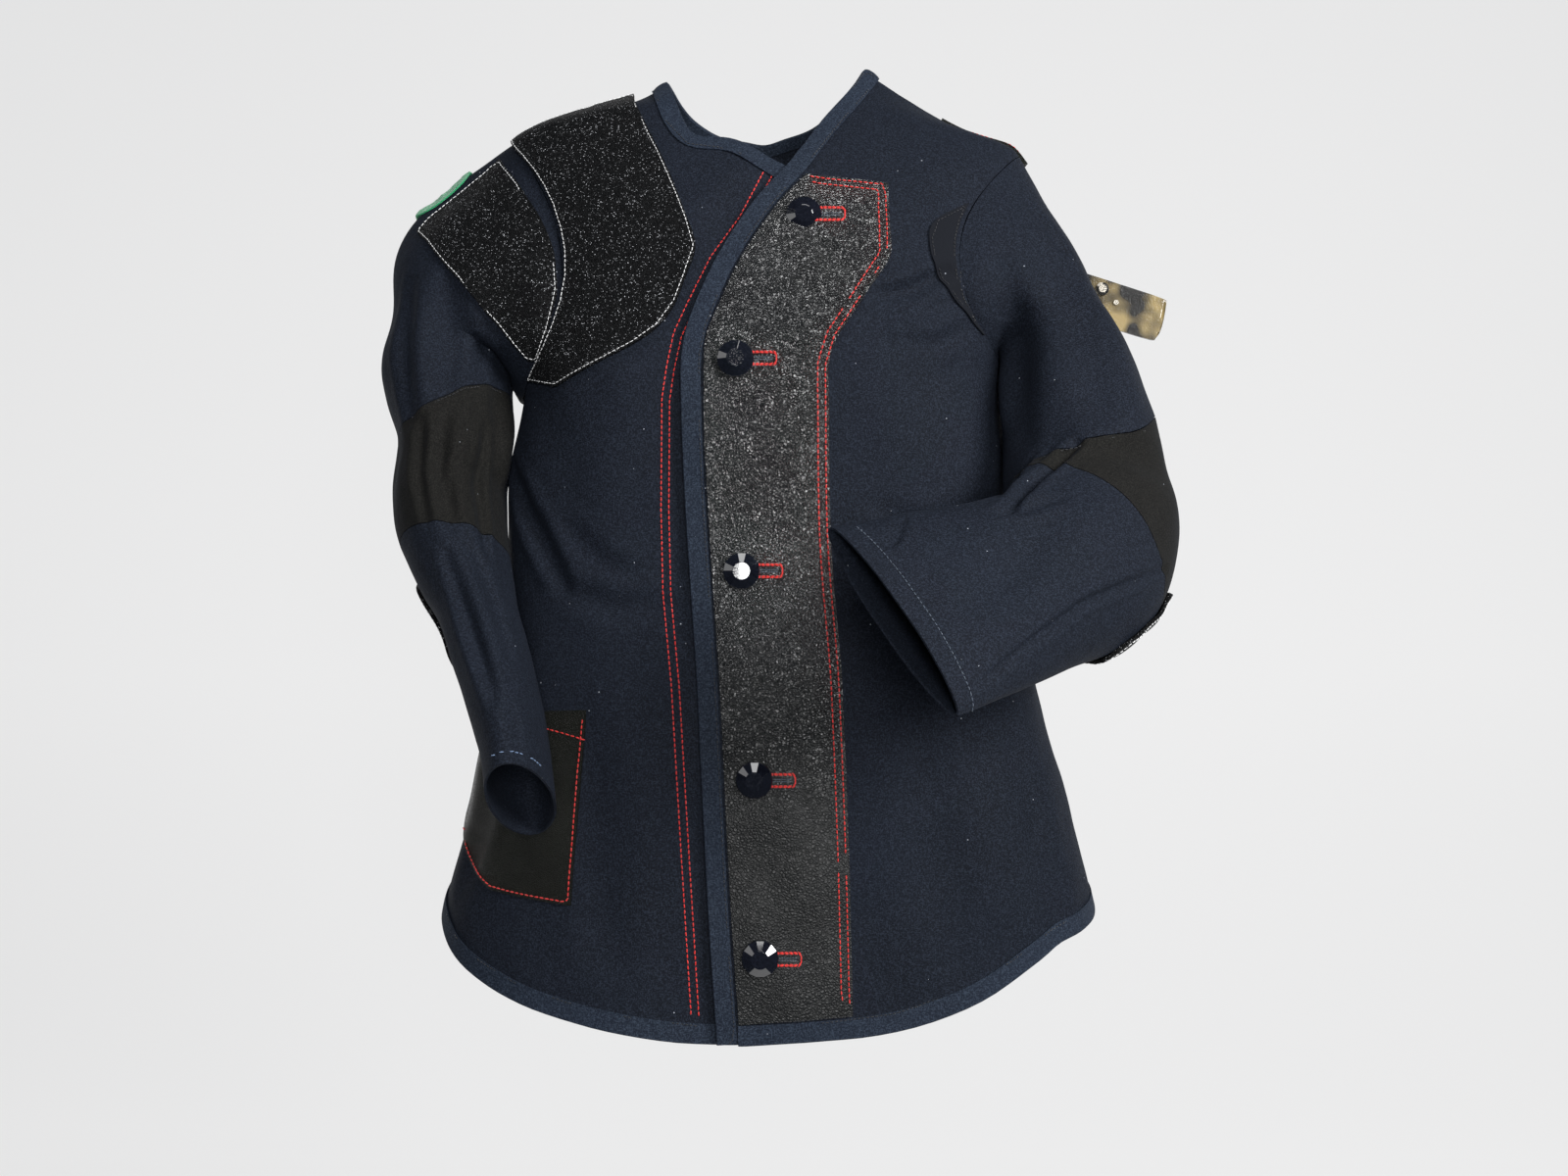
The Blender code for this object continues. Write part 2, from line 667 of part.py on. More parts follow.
def sleeve_surface(side):
    """A function of degrees round the sleeve and rings along it, cap included."""
    sign = 1.0 if side == "left" else -1.0
    centre = np.mean([torso_point(*armhole_place(side, a)) for a in range(0, 360, 15)], axis=0)
    first = np.r_[centre, SLEEVES[side][0][3:]]
    path = smooth_path([first, *SLEEVES[side]])
    last = float(len(SLEEVES[side]))
    ring_size = math.radians(1.0) * SLEEVE_RADIUS
    cap_way = np.array(CAP_WAY) * (sign, 1.0, 1.0)

    @lru_cache(maxsize=None)
    def ring_frame(ring):
        values = path(ring)
        before, after = path(max(ring - 0.02, 0.0)), path(min(ring + 0.02, last))
        way = unit(after[:3] - before[:3])
        front = unit(values[5:8] - (values[5:8] @ way) * way)
        return values, front, sign * np.cross(front, way)

    def ring_point(turn, ring):
        values, front, outer = ring_frame(min(max(ring, 0.0), last))
        angle = math.radians(turn)
        return values[:3] + values[3] * math.cos(angle) * outer + values[4] * math.sin(angle) * front

    @lru_cache(maxsize=None)
    def hole_edge(turn):
        place = armhole_place(side, turn)
        point, normal = torso_point(*place), torso_normal(*place)
        ahead = torso_point(*armhole_place(side, turn + 1.0))
        behind = torso_point(*armhole_place(side, turn - 1.0))
        inward = sign * np.cross(unit(ahead - behind), normal)
        inward = unit(inward) * (1.0 if inward @ (centre - point) > 0 else -1.0)
        angle = math.radians(turn)
        low = (1 - math.cos(angle)) / 2
        leave = unit(inward * (1 - low) ** 0.7 + normal * (0.15 + 0.85 * low**1.5))
        return point + inward * SEAM * 1.2, leave

    @lru_cache(maxsize=None)
    def base_point(turn, ring):
        if ring >= 1.0:
            return ring_point(turn, ring)
        start, leave = hole_edge(turn)
        end = ring_point(turn, 1.0)
        arrive = (ring_point(turn, 1.02) - end) / 0.02
        span = np.linalg.norm(end - start)
        share = max(ring, 0.0)
        outside = max(math.cos(math.radians(turn)), 0.0) ** 1.5
        cap = CAP_RISE[side] * outside * math.sin(math.pi * share**CAP_LEAN) * cap_way
        return (
            cap
            + (1 + 2 * share) * (1 - share) ** 2 * start
            + share * share * (3 - 2 * share) * end
            + share * (1 - share) ** 2 * leave * span
            + share * share * (share - 1) * unit(arrive) * span
        )

    def base_normal(turn, ring):
        low, high = max(ring - 0.01, 0.0), min(ring + 0.01, last)
        along = base_point(turn + 1.0, ring) - base_point(turn - 1.0, ring)
        down = base_point(turn, high) - base_point(turn, low)
        return sign * unit(np.cross(along, down))

    @lru_cache(maxsize=None)
    def point(turn, ring):
        around = turn % 360.0
        rise = fold_rise(SLEEVE_FOLDS[side], around, ring, ring_size, SLEEVE_RADIUS)
        if not rise:
            return base_point(turn, ring)
        return base_point(turn, ring) + base_normal(turn, ring) * rise

    def normal(turn, ring):
        low, high = max(ring - 0.01, 0.0), min(ring + 0.01, last)
        along = point(turn + 1.0, ring) - point(turn - 1.0, ring)
        down = point(turn, high) - point(turn, low)
        return sign * unit(np.cross(along, down))

    return point, normal


def tube_grid(surface, top_of, bottom_of, rows):
    """A closed run of a sleeve between two edges given as rings for each turn."""
    places = [[] for _ in range(rows + 1)]
    for step in range(RING):
        turn = 360.0 * step / RING
        top, bottom = top_of(turn), bottom_of(turn)
        for row in range(rows + 1):
            places[row].append((turn, top + (bottom - top) * row / rows))
    return grid_on(surface, places)


def add_object(name, vertices, faces, material, smooth=True):
    mesh = bpy.data.meshes.new(name)
    work = bmesh.new()
    corners = [work.verts.new(vertex) for vertex in vertices]
    for face in faces:
        work.faces.new([corners[k] for k in face])
    bmesh.ops.recalc_face_normals(work, faces=work.faces)
    work.to_mesh(mesh)
    work.free()
    mesh.materials.append(material)
    if smooth:
        mesh.shade_smooth()
        mesh.set_sharp_from_angle(angle=math.radians(50))
    item = bpy.data.objects.new(name, mesh)
    bpy.context.scene.collection.objects.link(item)
    return item


def add_wall(name, points, normals, faces, low, high, material):
    """A closed wall between two heights above a sheet of faces."""
    points, normals = np.array(points), np.array(normals)
    count = len(points)
    low, high = np.broadcast_to(low, count), np.broadcast_to(high, count)
    outer = points + normals * high[:, None]
    inner = points + normals * low[:, None]
    walls = [list(face) for face in faces] + [[k + count for k in reversed(face)] for face in faces]
    edges = {(start, end) for face in faces for start, end in zip(face, face[1:] + face[:1])}
    for start, end in sorted(edges):
        if (end, start) not in edges:
            walls.append([end, start, start + count, end + count])
    return add_object(name, np.vstack([outer, inner]), walls, material)


def grid_faces(rows, columns, closed=False, first=0):
    """The four-sided faces of rows and columns of points."""
    faces = []
    for row in range(rows - 1):
        for column in range(columns if closed else columns - 1):
            following = (column + 1) % columns
            upper, lower = first + row * columns, first + (row + 1) * columns
            faces.append([upper + column, upper + following, lower + following, lower + column])
    return faces


def add_panel(name, grid, low, high, material, closed=False):
    """A piece over the whole grid, between two heights above it."""
    rows, columns = grid.points.shape[:2]
    points, normals = grid.points.reshape(-1, 3), grid.normals.reshape(-1, 3)
    return add_wall(name, points, normals, grid_faces(rows, columns, closed), low, high, material)


def add_back(left, right, material):
    """Both halves of the back as one piece, which share their middle line."""
    rows, columns = left.points.shape[:2]
    points = np.vstack([left.points.reshape(-1, 3), right.points.reshape(-1, 3)])
    normals = np.vstack([left.normals.reshape(-1, 3), right.normals.reshape(-1, 3)])
    size = rows * columns
    shared = {}
    for row in range(BACK_NECK_STEPS, rows):
        shared[size + row * columns + columns - 1] = row * columns + columns - 1
    faces = grid_faces(rows, columns)
    for face in grid_faces(rows, columns, first=size):
        faces.append([shared.get(k, k) for k in reversed(face)])
    kept = sorted({k for face in faces for k in face})
    number = {k: n for n, k in enumerate(kept)}
    faces = [[number[k] for k in face] for face in faces]
    return add_wall("back", points[kept], normals[kept], faces, -CANVAS, 0.0, material)


def sheet_of(*grids, closed=False, low=0.0):
    """The faces of some grids, each cut both ways, with places and normals all over them."""
    places, ways, corners, faces = [], [], [], []
    for grid in grids:
        rows, columns = grid.points.shape[:2]
        for a, b, c, d in grid_faces(rows, columns, closed, first=len(corners)):
            faces += [(a, b, c), (a, c, d), (a, b, d), (b, c, d)]
        points = grid.points + grid.normals * low
        corners += [tuple(point) for point in points.reshape(-1, 3)]
        for values, out in ((points, places), (grid.normals, ways)):
            if closed:
                values = np.concatenate([values, values[:, :1]], axis=1)
            four = (values[:-1, :-1], values[:-1, 1:], values[1:, 1:], values[1:, :-1])
            for shares in SHEET_SHARES:
                out.append(sum(share * corner for share, corner in zip(shares, four)).reshape(-1, 3))
    ways = np.vstack(ways)
    ways /= np.linalg.norm(ways, axis=1)[:, None]
    return np.vstack(places), ways, BVHTree.FromPolygons(corners, faces)


def height_over(tree, point, way):
    """How far some faces stand over a point, seen against a way out."""
    found = tree.ray_cast(Vector(point + SHEET_REACH * way), Vector(-way), 2.0 * SHEET_REACH)[0]
    return 0.0 if found is None else float((np.array(found) - point) @ way)


def raised(points, normals, faces, sheet, gap, side=1.0):
    """Heights that keep all of a piece at least this far clear of a sheet."""
    points, ways = np.array(points, float), side * np.array(normals, float)
    triangles = []
    for face in faces:
        triangles += [tuple(face[:3])] if len(face) == 3 else [tuple(np.delete(face, k)) for k in range(4)]
    places, place_ways, sheet_tree = sheet
    near = np.all(places > points.min(axis=0) - SHEET_REACH, axis=1)
    near &= np.all(places < points.max(axis=0) + SHEET_REACH, axis=1)
    rise = np.array([gap + max(height_over(sheet_tree, p, w), 0.0) for p, w in zip(points, ways)])
    for _ in range(6):
        moved = points + ways * rise[:, None]
        tree = BVHTree.FromPolygons([tuple(point) for point in moved], triangles)
        wanted = rise.copy()
        for place, way in zip(places[near], side * place_ways[near]):
            start = Vector(place - SHEET_REACH * way)
            found, _, index, _ = tree.ray_cast(start, Vector(way), 2.0 * SHEET_REACH)
            if found is None:
                continue
            lack = gap - float((np.array(found) - place) @ way)
            for corner in triangles[index]:
                wanted[corner] = max(wanted[corner], rise[corner] + 1.1 * lack)
        if np.allclose(wanted, rise, atol=2e-5):
            break
        rise = wanted
    return rise


def step_on(point_at, place, way, distance):
    """The place reached by going this far over a surface in a direction."""
    place = np.array(place, float)
    here = point_at(*place)
    by_turn = (point_at(place[0] + 0.5, place[1]) - here) / 0.5
    by_height = (point_at(place[0], place[1] + 0.001) - here) / 0.001
    frame = np.column_stack([by_turn, by_height])
    change, *_ = np.linalg.lstsq(frame, way * distance, rcond=None)
    return place + change


def edge_rays(surface, edge, inside, ends=(False, False)):
    """Runs of points that go in from each place of an edge, at the binding's stops.

    Inside is a place in the piece for each place of the edge. An end that lies on a seam
    keeps to that seam.
    """
    point_at, normal_at = surface
    line = np.array([point_at(*place) for place in edge])
    ways = np.gradient(line, axis=0)
    rays = []
    for index, place in enumerate(edge):
        normal = normal_at(*place)
        inward = unit(np.cross(normal, unit(ways[index])))
        if inward @ (point_at(*inside[index]) - line[index]) < 0:
            inward = -inward
        first_end, last_end = ends[0] and index == 0, ends[1] and index == len(edge) - 1
        near = edge[1] if first_end else edge[index - 1]
        off_seam = (np.array(near) - place) * SEAM_CLEARANCE / np.linalg.norm(point_at(*near) - line[index])
        ray = []
        for stop in (0.0, BINDING_BACK_WIDTH, BINDING_WIDTH):
            if first_end or last_end:
                rate = np.linalg.norm(point_at(place[0], place[1] + 0.001) - line[index]) / 0.001
                sign = math.copysign(1.0, inside[index][1] - place[1])
                place_of_normal = np.array((place[0], place[1] + sign * stop / rate))
                here = place_of_normal + off_seam
            else:
                here = step_on(point_at, place, inward, stop)
                place_of_normal = here
            ray.append((point_at(*here), normal_at(*place_of_normal)))
        if first_end or last_end:
            inward = unit(ray[1][0] - ray[0][0])
        rays.append((ray, inward))
    return rays


def add_binding(name, rays, sheets, material):
    """A tape folded round a piece's edge, over the stops of its rays."""
    sheet, back = sheets
    points = np.array([[point for point, _ in ray] for ray, _ in rays])
    normals = np.array([[normal for _, normal in ray] for ray, _ in rays])
    shape = points.shape[:2]
    faces = grid_faces(*shape)
    flat, flat_normals = points.reshape(-1, 3), normals.reshape(-1, 3)
    over = raised(flat, flat_normals, faces, sheet, LAY_GAP).reshape(shape)
    under = raised(flat - flat_normals * CANVAS, flat_normals, faces, back, BINDING_BACK_GAP, -1.0)
    under = under.reshape(shape) + CANVAS
    tape = BINDING_CLOTH
    vertices = []
    for index, (ray, inward) in enumerate(rays):
        top, low = over[index], under[index]
        profile = (
            (2, 0.0, top[2] + tape),
            (1, 0.0, top[1] + tape),
            (0, -SEAM, top[0] + tape),
            (0, -SEAM - tape, 0.0),
            (0, -SEAM - tape, -CANVAS),
            (0, -SEAM, -low[0] - tape),
            (1, 0.0, -low[1] - tape),
            (1, 0.0, -low[1]),
            (0, 0.0, -low[0]),
            (0, -SEAM, -CANVAS),
            (0, -SEAM, 0.0),
            (0, 0.0, top[0]),
            (1, 0.0, top[1]),
            (2, 0.0, top[2]),
        )
        for stop, out, height in profile:
            point, normal = ray[stop]
            vertices.append(point + inward * out + normal * height)
    size = len(profile)
    faces = grid_faces(len(rays), size, closed=True)
    for base in (0, (len(rays) - 1) * size):
        for k in range(size // 2 - 1):
            faces.append([base + k, base + k + 1, base + size - 2 - k, base + size - 1 - k])
    return add_object(name, vertices, faces, material)


def add_bindings(pieces, tape):
    """Tape round the neck, the left front edge and the hem."""
    under = (under_point, torso_normal)
    left, right = pieces["front_left"], pieces["front_right"]
    back_left, back_right = pieces["back_left"], pieces["back_right"]
    left_sheet = (sheet_of(left), sheet_of(left, low=-CANVAS))
    right_sheet = (sheet_of(right), sheet_of(right, low=-CANVAS))
    back_sheet = (sheet_of(back_left, back_right), sheet_of(back_left, back_right, low=-CANVAS))

    edge, near = left.places[:, -1], left.places[:, -3]
    rays = edge_rays(BODY, edge, [left.places[0, -2], *near[1:]], ends=(True, False))
    add_binding("binding_front_left", rays, left_sheet, tape)

    corner, before = left.places[-1, -1], left.places[-1, -2]
    span = np.linalg.norm(torso_point(*corner) - torso_point(*before))
    start = corner + (before - corner) * (BINDING_WIDTH + 2 * SEAM) / span
    whole = left.places[-1]
    hem = [*whole[:-2], start] if span < 1.6 * BINDING_WIDTH else [*whole[:-1], start]
    above = [(turn, height + 0.03) for turn, height in hem]
    rays = edge_rays(BODY, hem, above, ends=(True, False))
    add_binding("hem_binding_left", rays, left_sheet, tape)

    edge = right.places[: RIGHT_NECK_STEPS + 1, -1]
    near = [right.places[0, -2], *right.places[1 : RIGHT_NECK_STEPS + 1, -4]]
    rays = edge_rays(under, edge, near, ends=(True, False))
    add_binding("binding_neck_right", rays, right_sheet, tape)
    hem = right.places[-1]
    above = [(turn, height + 0.03) for turn, height in hem]
    rays = edge_rays(under, hem, above, ends=(True, False))
    add_binding("hem_binding_right", rays, right_sheet, tape)

    turned = np.array((360.0, 0.0))
    first = back_left.places[: BACK_NECK_STEPS + 1, -1]
    second = back_right.places[: BACK_NECK_STEPS + 1, -1] - turned
    edge = [*first, *second[-2::-1]]
    near = [(turn, height - 0.05) for turn, height in edge]
    rays = edge_rays(BODY, edge, near, ends=(True, True))
    add_binding("binding_neck_back", rays, back_sheet, tape)
    edge = [*back_left.places[-1], *(back_right.places[-1] - turned)[-2::-1]]
    near = [(turn, height + 0.03) for turn, height in edge]
    rays = edge_rays(BODY, edge, near, ends=(True, True))
    add_binding("hem_binding_back", rays, back_sheet, tape)


def add_laid(name, points, normals, faces, sheet, gap, thickness, material):
    """A piece laid on the faces of a sheet."""
    low = raised(points, normals, faces, sheet, gap)
    return add_wall(name, points, normals, faces, low, low + thickness, material)


def add_overlay(name, surface, sheet, places, gap, thickness, material):
    """A piece laid over rows of places."""
    grid = grid_on(surface, places)
    faces = grid_faces(*grid.points.shape[:2])
    points, normals = grid.points.reshape(-1, 3), grid.normals.reshape(-1, 3)
    return add_laid(name, points, normals, faces, sheet, gap, thickness, material)


def rows_between(lines, columns):
    """Rows of places between pairs of places."""
    rows = []
    for first, last in lines:
        first, last = np.array(first), np.array(last)
        rows.append([first + (last - first) * k / columns for k in range(columns + 1)])
    return rows


def add_placket(left, sheet, leather):
    """Leather from the edge binding out to its own curved edge."""
    outer = smooth_columns([(height, across) for across, height in PLACKET_OUTER])
    edge = left.places[:, -1]
    lines = []
    bottom = hem_at(edge[-1][0]) + BINDING_WIDTH + SEAM + PLACKET_FOOT
    count = PLACKET_ROWS
    for k in range(count + 1):
        height = PLACKET_TOP + (bottom - PLACKET_TOP) * k / count
        inner = float(left_edge_across(height)[0])
        slope = (float(left_edge_across(height + 0.002)[0]) - inner) / 0.002
        inner += (BINDING_WIDTH + PLACKET_CLEARANCE) * math.sqrt(1 + slope * slope)
        across = float(outer(height)[0])
        turn = turn_at(across, height)
        rise = hem_at(turn) - hem_at(edge[-1][0])
        drop = rise * k / count - PLACKET_SLANT * (1 - k / count) ** 2
        lines.append(((turn, height + drop), (turn_at(inner, height), height)))
    add_overlay("placket", BODY, sheet, rows_between(lines, PLACKET_FACES), LAID_GAP, LEATHER, leather)


def add_shoulder_pad(body_sheet, surface, sleeve_sheet, grit):
    """The grit pad: one piece on the front and one on the sleeve, cut at the armhole."""
    edge = path_by_length(PAD_EDGE)
    lines = []
    count = PAD_ROWS
    for k in range(count + 1):
        across, height = edge(k / count)
        round_turn = PAD_ARMHOLE_START + (PAD_ARMHOLE_END - PAD_ARMHOLE_START) * k / count
        turn, level = armhole_place("right", round_turn)
        lines.append(((turn - PAD_ARMHOLE_MARGIN, level), (turn_at(across, height), height)))
    grid = rows_between(lines, PAD_FACES)
    add_overlay("shoulder_pad_body", BODY, body_sheet, grid, LAID_GAP, GRIT, grit)
    rows, columns = PAD_SLEEVE_ROWS, PAD_SLEEVE_COLUMNS
    places = [[] for _ in range(rows + 1)]
    span = smooth_columns(PAD_SLEEVE)
    start, end = PAD_SLEEVE[0][0], PAD_SLEEVE[-1][0]
    for n in range(columns + 1):
        turn = start + (end - start) * n / columns
        first, last = span(turn)
        for k in range(rows + 1):
            places[k].append((turn, first + (last - first) * k / rows))
    add_overlay("shoulder_pad_sleeve", surface, sleeve_sheet, places, SLEEVE_LAY_GAP, GRIT, grit)


def add_pocket(sheet, leather):
    """The patch pocket, its two sides read from the table down the body."""
    table = np.array(POCKET)
    count = POCKET_STEPS * (len(table) - 1)
    lines = []
    for k in range(count + 1):
        row = [np.interp(k / POCKET_STEPS, range(len(table)), column) for column in table.T]
        lines.append((row[:2], row[2:]))
    add_overlay("pocket", BODY, sheet, rows_between(lines, POCKET_FACES), LAID_GAP, POCKET_LEATHER, leather)


def add_gusset(sheet, suede):
    """A leaf-shaped soft piece along the armhole of the left front."""
    lines = []
    count = GUSSET_ROWS
    for k in range(count + 1):
        share = k / count
        turn, height = armhole_place("left", GUSSET_START + (GUSSET_END - GUSSET_START) * share)
        width = GUSSET_DEGREES * (GUSSET_TIP + (1.0 - GUSSET_TIP) * math.sin(math.pi * share**0.5))
        inner = turn + PAD_ARMHOLE_MARGIN
        lines.append(((inner, height), (inner + width, height)))
    add_overlay("gusset_left", BODY, sheet, rows_between(lines, GUSSET_FACES), LAID_GAP, SUEDE, suede)


def add_back_patch(sheet, suede):
    """A patch behind the left shoulder that stands up at the seam."""
    patch = BACK_PATCH
    lines = []
    count = patch["rows"]
    for k in range(count + 1):
        share = k / count
        start, end = patch["armhole_start"], patch["armhole_end"]
        turn, height = armhole_place("left", -(start + (end - start) * share))
        inner_turn = patch["turn"] + (patch["low_turn"] - patch["turn"]) * share
        inner_height = patch["height"] + (patch["low_height"] - patch["height"]) * share
        lines.append(((turn - PAD_ARMHOLE_MARGIN, height), (inner_turn, inner_height)))
    rows = rows_between(lines, patch["faces"])
    grid = grid_on(BODY, rows)
    faces = grid_faces(*grid.points.shape[:2])
    points, normals = grid.points.reshape(-1, 3), grid.normals.reshape(-1, 3)
    low = raised(points, normals, faces, sheet, SLEEVE_LAY_GAP)
    stand = [patch["rise"] * ease(1.0 - patch["fade"] * k / count) for k in range(count + 1)]
    stand = np.repeat(stand, patch["faces"] + 1)
    add_wall("shoulder_patch_back", points, normals, faces, low, low + SUEDE + stand, suede)


def add_elbow_pad(side, surface, sheet, grit):
    """The grit patch over one elbow, its ends drawn in."""
    pad = ELBOW_PADS[side]
    count = ELBOW_PAD_FACES
    places = []
    for row in range(count + 1):
        down = 2.0 * row / count - 1.0
        ring = pad["first"] + (pad["last"] - pad["first"]) * row / count
        round_off = math.sqrt(max(1.0 - down**4, 0.0))
        half = pad["half"] * (ELBOW_PAD_END + (1.0 - ELBOW_PAD_END) * round_off)
        places.append([(pad["turn"] + half * (2.0 * k / count - 1.0), ring) for k in range(count + 1)])
    add_overlay(f"elbow_pad_{side}", surface, sheet, places, SLEEVE_LAY_GAP, GRIT, grit)


def add_badge(surface, sheet, green):
    """A plain oval cut from a fan of rings round its middle."""
    point, normal = surface
    rings, sides = 3, 20
    turn, ring = BADGE["turn"], BADGE["ring"]
    middle = point(turn, ring)
    per_turn = np.linalg.norm(point(turn + 1, ring) - middle)
    per_ring = np.linalg.norm(point(turn, ring + 0.02) - middle) / 0.02
    points, normals, faces = [middle], [normal(turn, ring)], []
    for k in range(1, rings + 1):
        for n in range(sides):
            angle = math.tau * n / sides
            here = (
                turn + BADGE["half_width"] * k / rings * math.cos(angle) / per_turn,
                ring + BADGE["half_height"] * k / rings * math.sin(angle) / per_ring,
            )
            normals.append(normal(*here))
            points.append(point(*here))
    for n in range(sides):
        following = (n + 1) % sides
        faces.append([0, 1 + n, 1 + following])
        for k in range(rings - 1):
            base, above = 1 + k * sides, 1 + (k + 1) * sides
            faces.append([base + n, above + n, above + following, base + following])
    add_laid("badge", points, normals, faces, sheet, SLEEVE_LAY_GAP, SUEDE, green)


def add_turned(name, profile, sides, point, normal, material):
    """A round piece from a profile of radius and height, standing on a point."""
    axis = unit(normal)
    across = unit(np.cross(axis, (0.0, 0.0, 1.0)))
    up = np.cross(axis, across)
    vertices, faces = [], []
    for radius, height in profile:
        for k in range(sides):
            angle = math.tau * k / sides
            spoke = math.cos(angle) * across + math.sin(angle) * up
            vertices.append(point + axis * height + radius * spoke)
    for ring in range(len(profile) - 1):
        for k in range(sides):
            following = (k + 1) % sides
            base, above = ring * sides, (ring + 1) * sides
            faces.append([base + k, base + following, above + following, above + k])
    faces.append(list(range(sides)))
    faces.append([(len(profile) - 1) * sides + k for k in range(sides)])
    return add_object(name, vertices, faces, material, smooth=False)


def add_buttons(material):
    seat = LAID_GAP + LEATHER + BUTTON_CLEARANCE
    head = seat + SHANK_HEIGHT
    profile = (
        (SHANK_RADIUS, seat),
        (SHANK_RADIUS, head),
        (BUTTON_RADIUS * 0.93, head),
        (BUTTON_RADIUS, head + BUTTON_EDGE * 0.45),
        (BUTTON_RADIUS * 0.96, head + BUTTON_EDGE),
        (BUTTON_FACE_RADIUS, head + BUTTON_RISE),
    )
    for number, (across, height) in enumerate(BUTTONS, 1):
        turn = turn_at(across, height)
        point, normal = torso_point(turn, height), torso_normal(turn, height)
        add_turned(f"button_{number}", profile, BUTTON_SIDES, point, normal, material)


def add_strap(surface, leather, steel):
    """A strap end that leaves the back of the left sleeve, with its snaps and eyelets."""
    point, normal = surface
    root, out = point(STRAP_TURN, STRAP_RING), normal(STRAP_TURN, STRAP_RING)
    way = unit(np.array(STRAP_WAY))
    side = unit(np.cross(way, (0.0, 1.0, 0.0)))
    face = np.cross(side, way)
    face *= math.copysign(1.0, face[1])
    side *= math.copysign(1.0, side[2])
    start = root + out * STRAP_GAP
    half = STRAP_WIDTH / 2
    rows, columns = 8, 4
    points = []
    for k in range(rows + 1):
        distance = STRAP_REACH * (1.0 - (1.0 - k / rows) ** STRAP_SPACING)
        past_round = max(STRAP_ROUND - (STRAP_REACH - distance), 0.0) / STRAP_ROUND
        reach = half - STRAP_ROUND * (1.0 - math.sqrt(1.0 - past_round**2))
        for n in range(columns + 1):
            points.append(start + way * distance + side * reach * (2.0 * n / columns - 1.0))
    normals = [face] * len(points)
    add_wall("arm_strap", points, normals, grid_faces(rows + 1, columns + 1), 0.0, STRAP_LEATHER, leather)
    snap = (
        (SNAP_RADIUS, STRAP_SEAT),
        (SNAP_RADIUS, STRAP_SEAT + SNAP_RISE * 0.5),
        (SNAP_RADIUS * 0.6, STRAP_SEAT + SNAP_RISE),
    )
    eyelet = (
        (EYELET_RADIUS, STRAP_SEAT),
        (EYELET_RADIUS, STRAP_SEAT + EYELET_RISE),
        (EYELET_RADIUS * 0.6, STRAP_SEAT + EYELET_RISE),
    )
    for number, (distance, offset) in enumerate(SNAPS, 1):
        place = start + way * distance + side * offset
        add_turned(f"snap_{number}", snap, 12, place, -face, steel)
    for number, (distance, offset) in enumerate(EYELETS, 1):
        place = start + way * distance + side * offset
        add_turned(f"eyelet_{number}", eyelet, 10, place, -face, steel)


def add_sleeve(side, surface, cloth, band_cloth):
    """The three tubes of a sleeve, and the sheet that they make together."""
    point, _ = surface
    band = ELBOW_BANDS[side]
    last = float(len(SLEEVES[side]))

    def slanted(ring, slant, sign):
        def edge(turn):
            here = ring + slant * math.cos(math.radians(turn))
            spacing = np.linalg.norm(point(turn, here + 0.05) - point(turn, here - 0.05)) / 0.1
            return here + sign * 0.5 * SLEEVE_SEAM / spacing

        return edge

    top, bottom = (band["top"], band["top_slant"]), (band["bottom"], band["bottom_slant"])
    pieces = (
        (f"sleeve_{side}_upper", lambda turn: 0.0, slanted(*top, -1.0), SLEEVE_ROWS[0], cloth),
        (f"elbow_band_{side}", slanted(*top, 1.0), slanted(*bottom, -1.0), SLEEVE_ROWS[1], band_cloth),
        (f"sleeve_{side}_forearm", slanted(*bottom, 1.0), lambda turn: last, SLEEVE_ROWS[2], cloth),
    )
    grids = [tube_grid(surface, first, end, rows) for _, first, end, rows, _ in pieces]
    for grid, (name, _, _, _, material) in zip(grids, pieces):
        add_panel(name, grid, -SLEEVE_CLOTH, 0.0, material, closed=True)
    whole = [
        Grid(*(np.concatenate([v, v[:, :1]], axis=1) for v in (g.places, g.points, g.normals)))
        for g in grids
    ]

    def on_faces(turn, ring):
        turn %= 360.0
        index = next((k for k in range(2) if ring <= pieces[k][2](turn)), 2)
        first, end, rows = pieces[index][1](turn), pieces[index][2](turn), pieces[index][3]
        share = min(max((ring - first) / (end - first), 0.0), 1.0)
        return whole[index].at(share * rows, turn * RING / 360.0)

    faces_surface = (lambda turn, ring: on_faces(turn, ring)[0], lambda turn, ring: on_faces(turn, ring)[1])
    return faces_surface, sheet_of(*grids, closed=True)


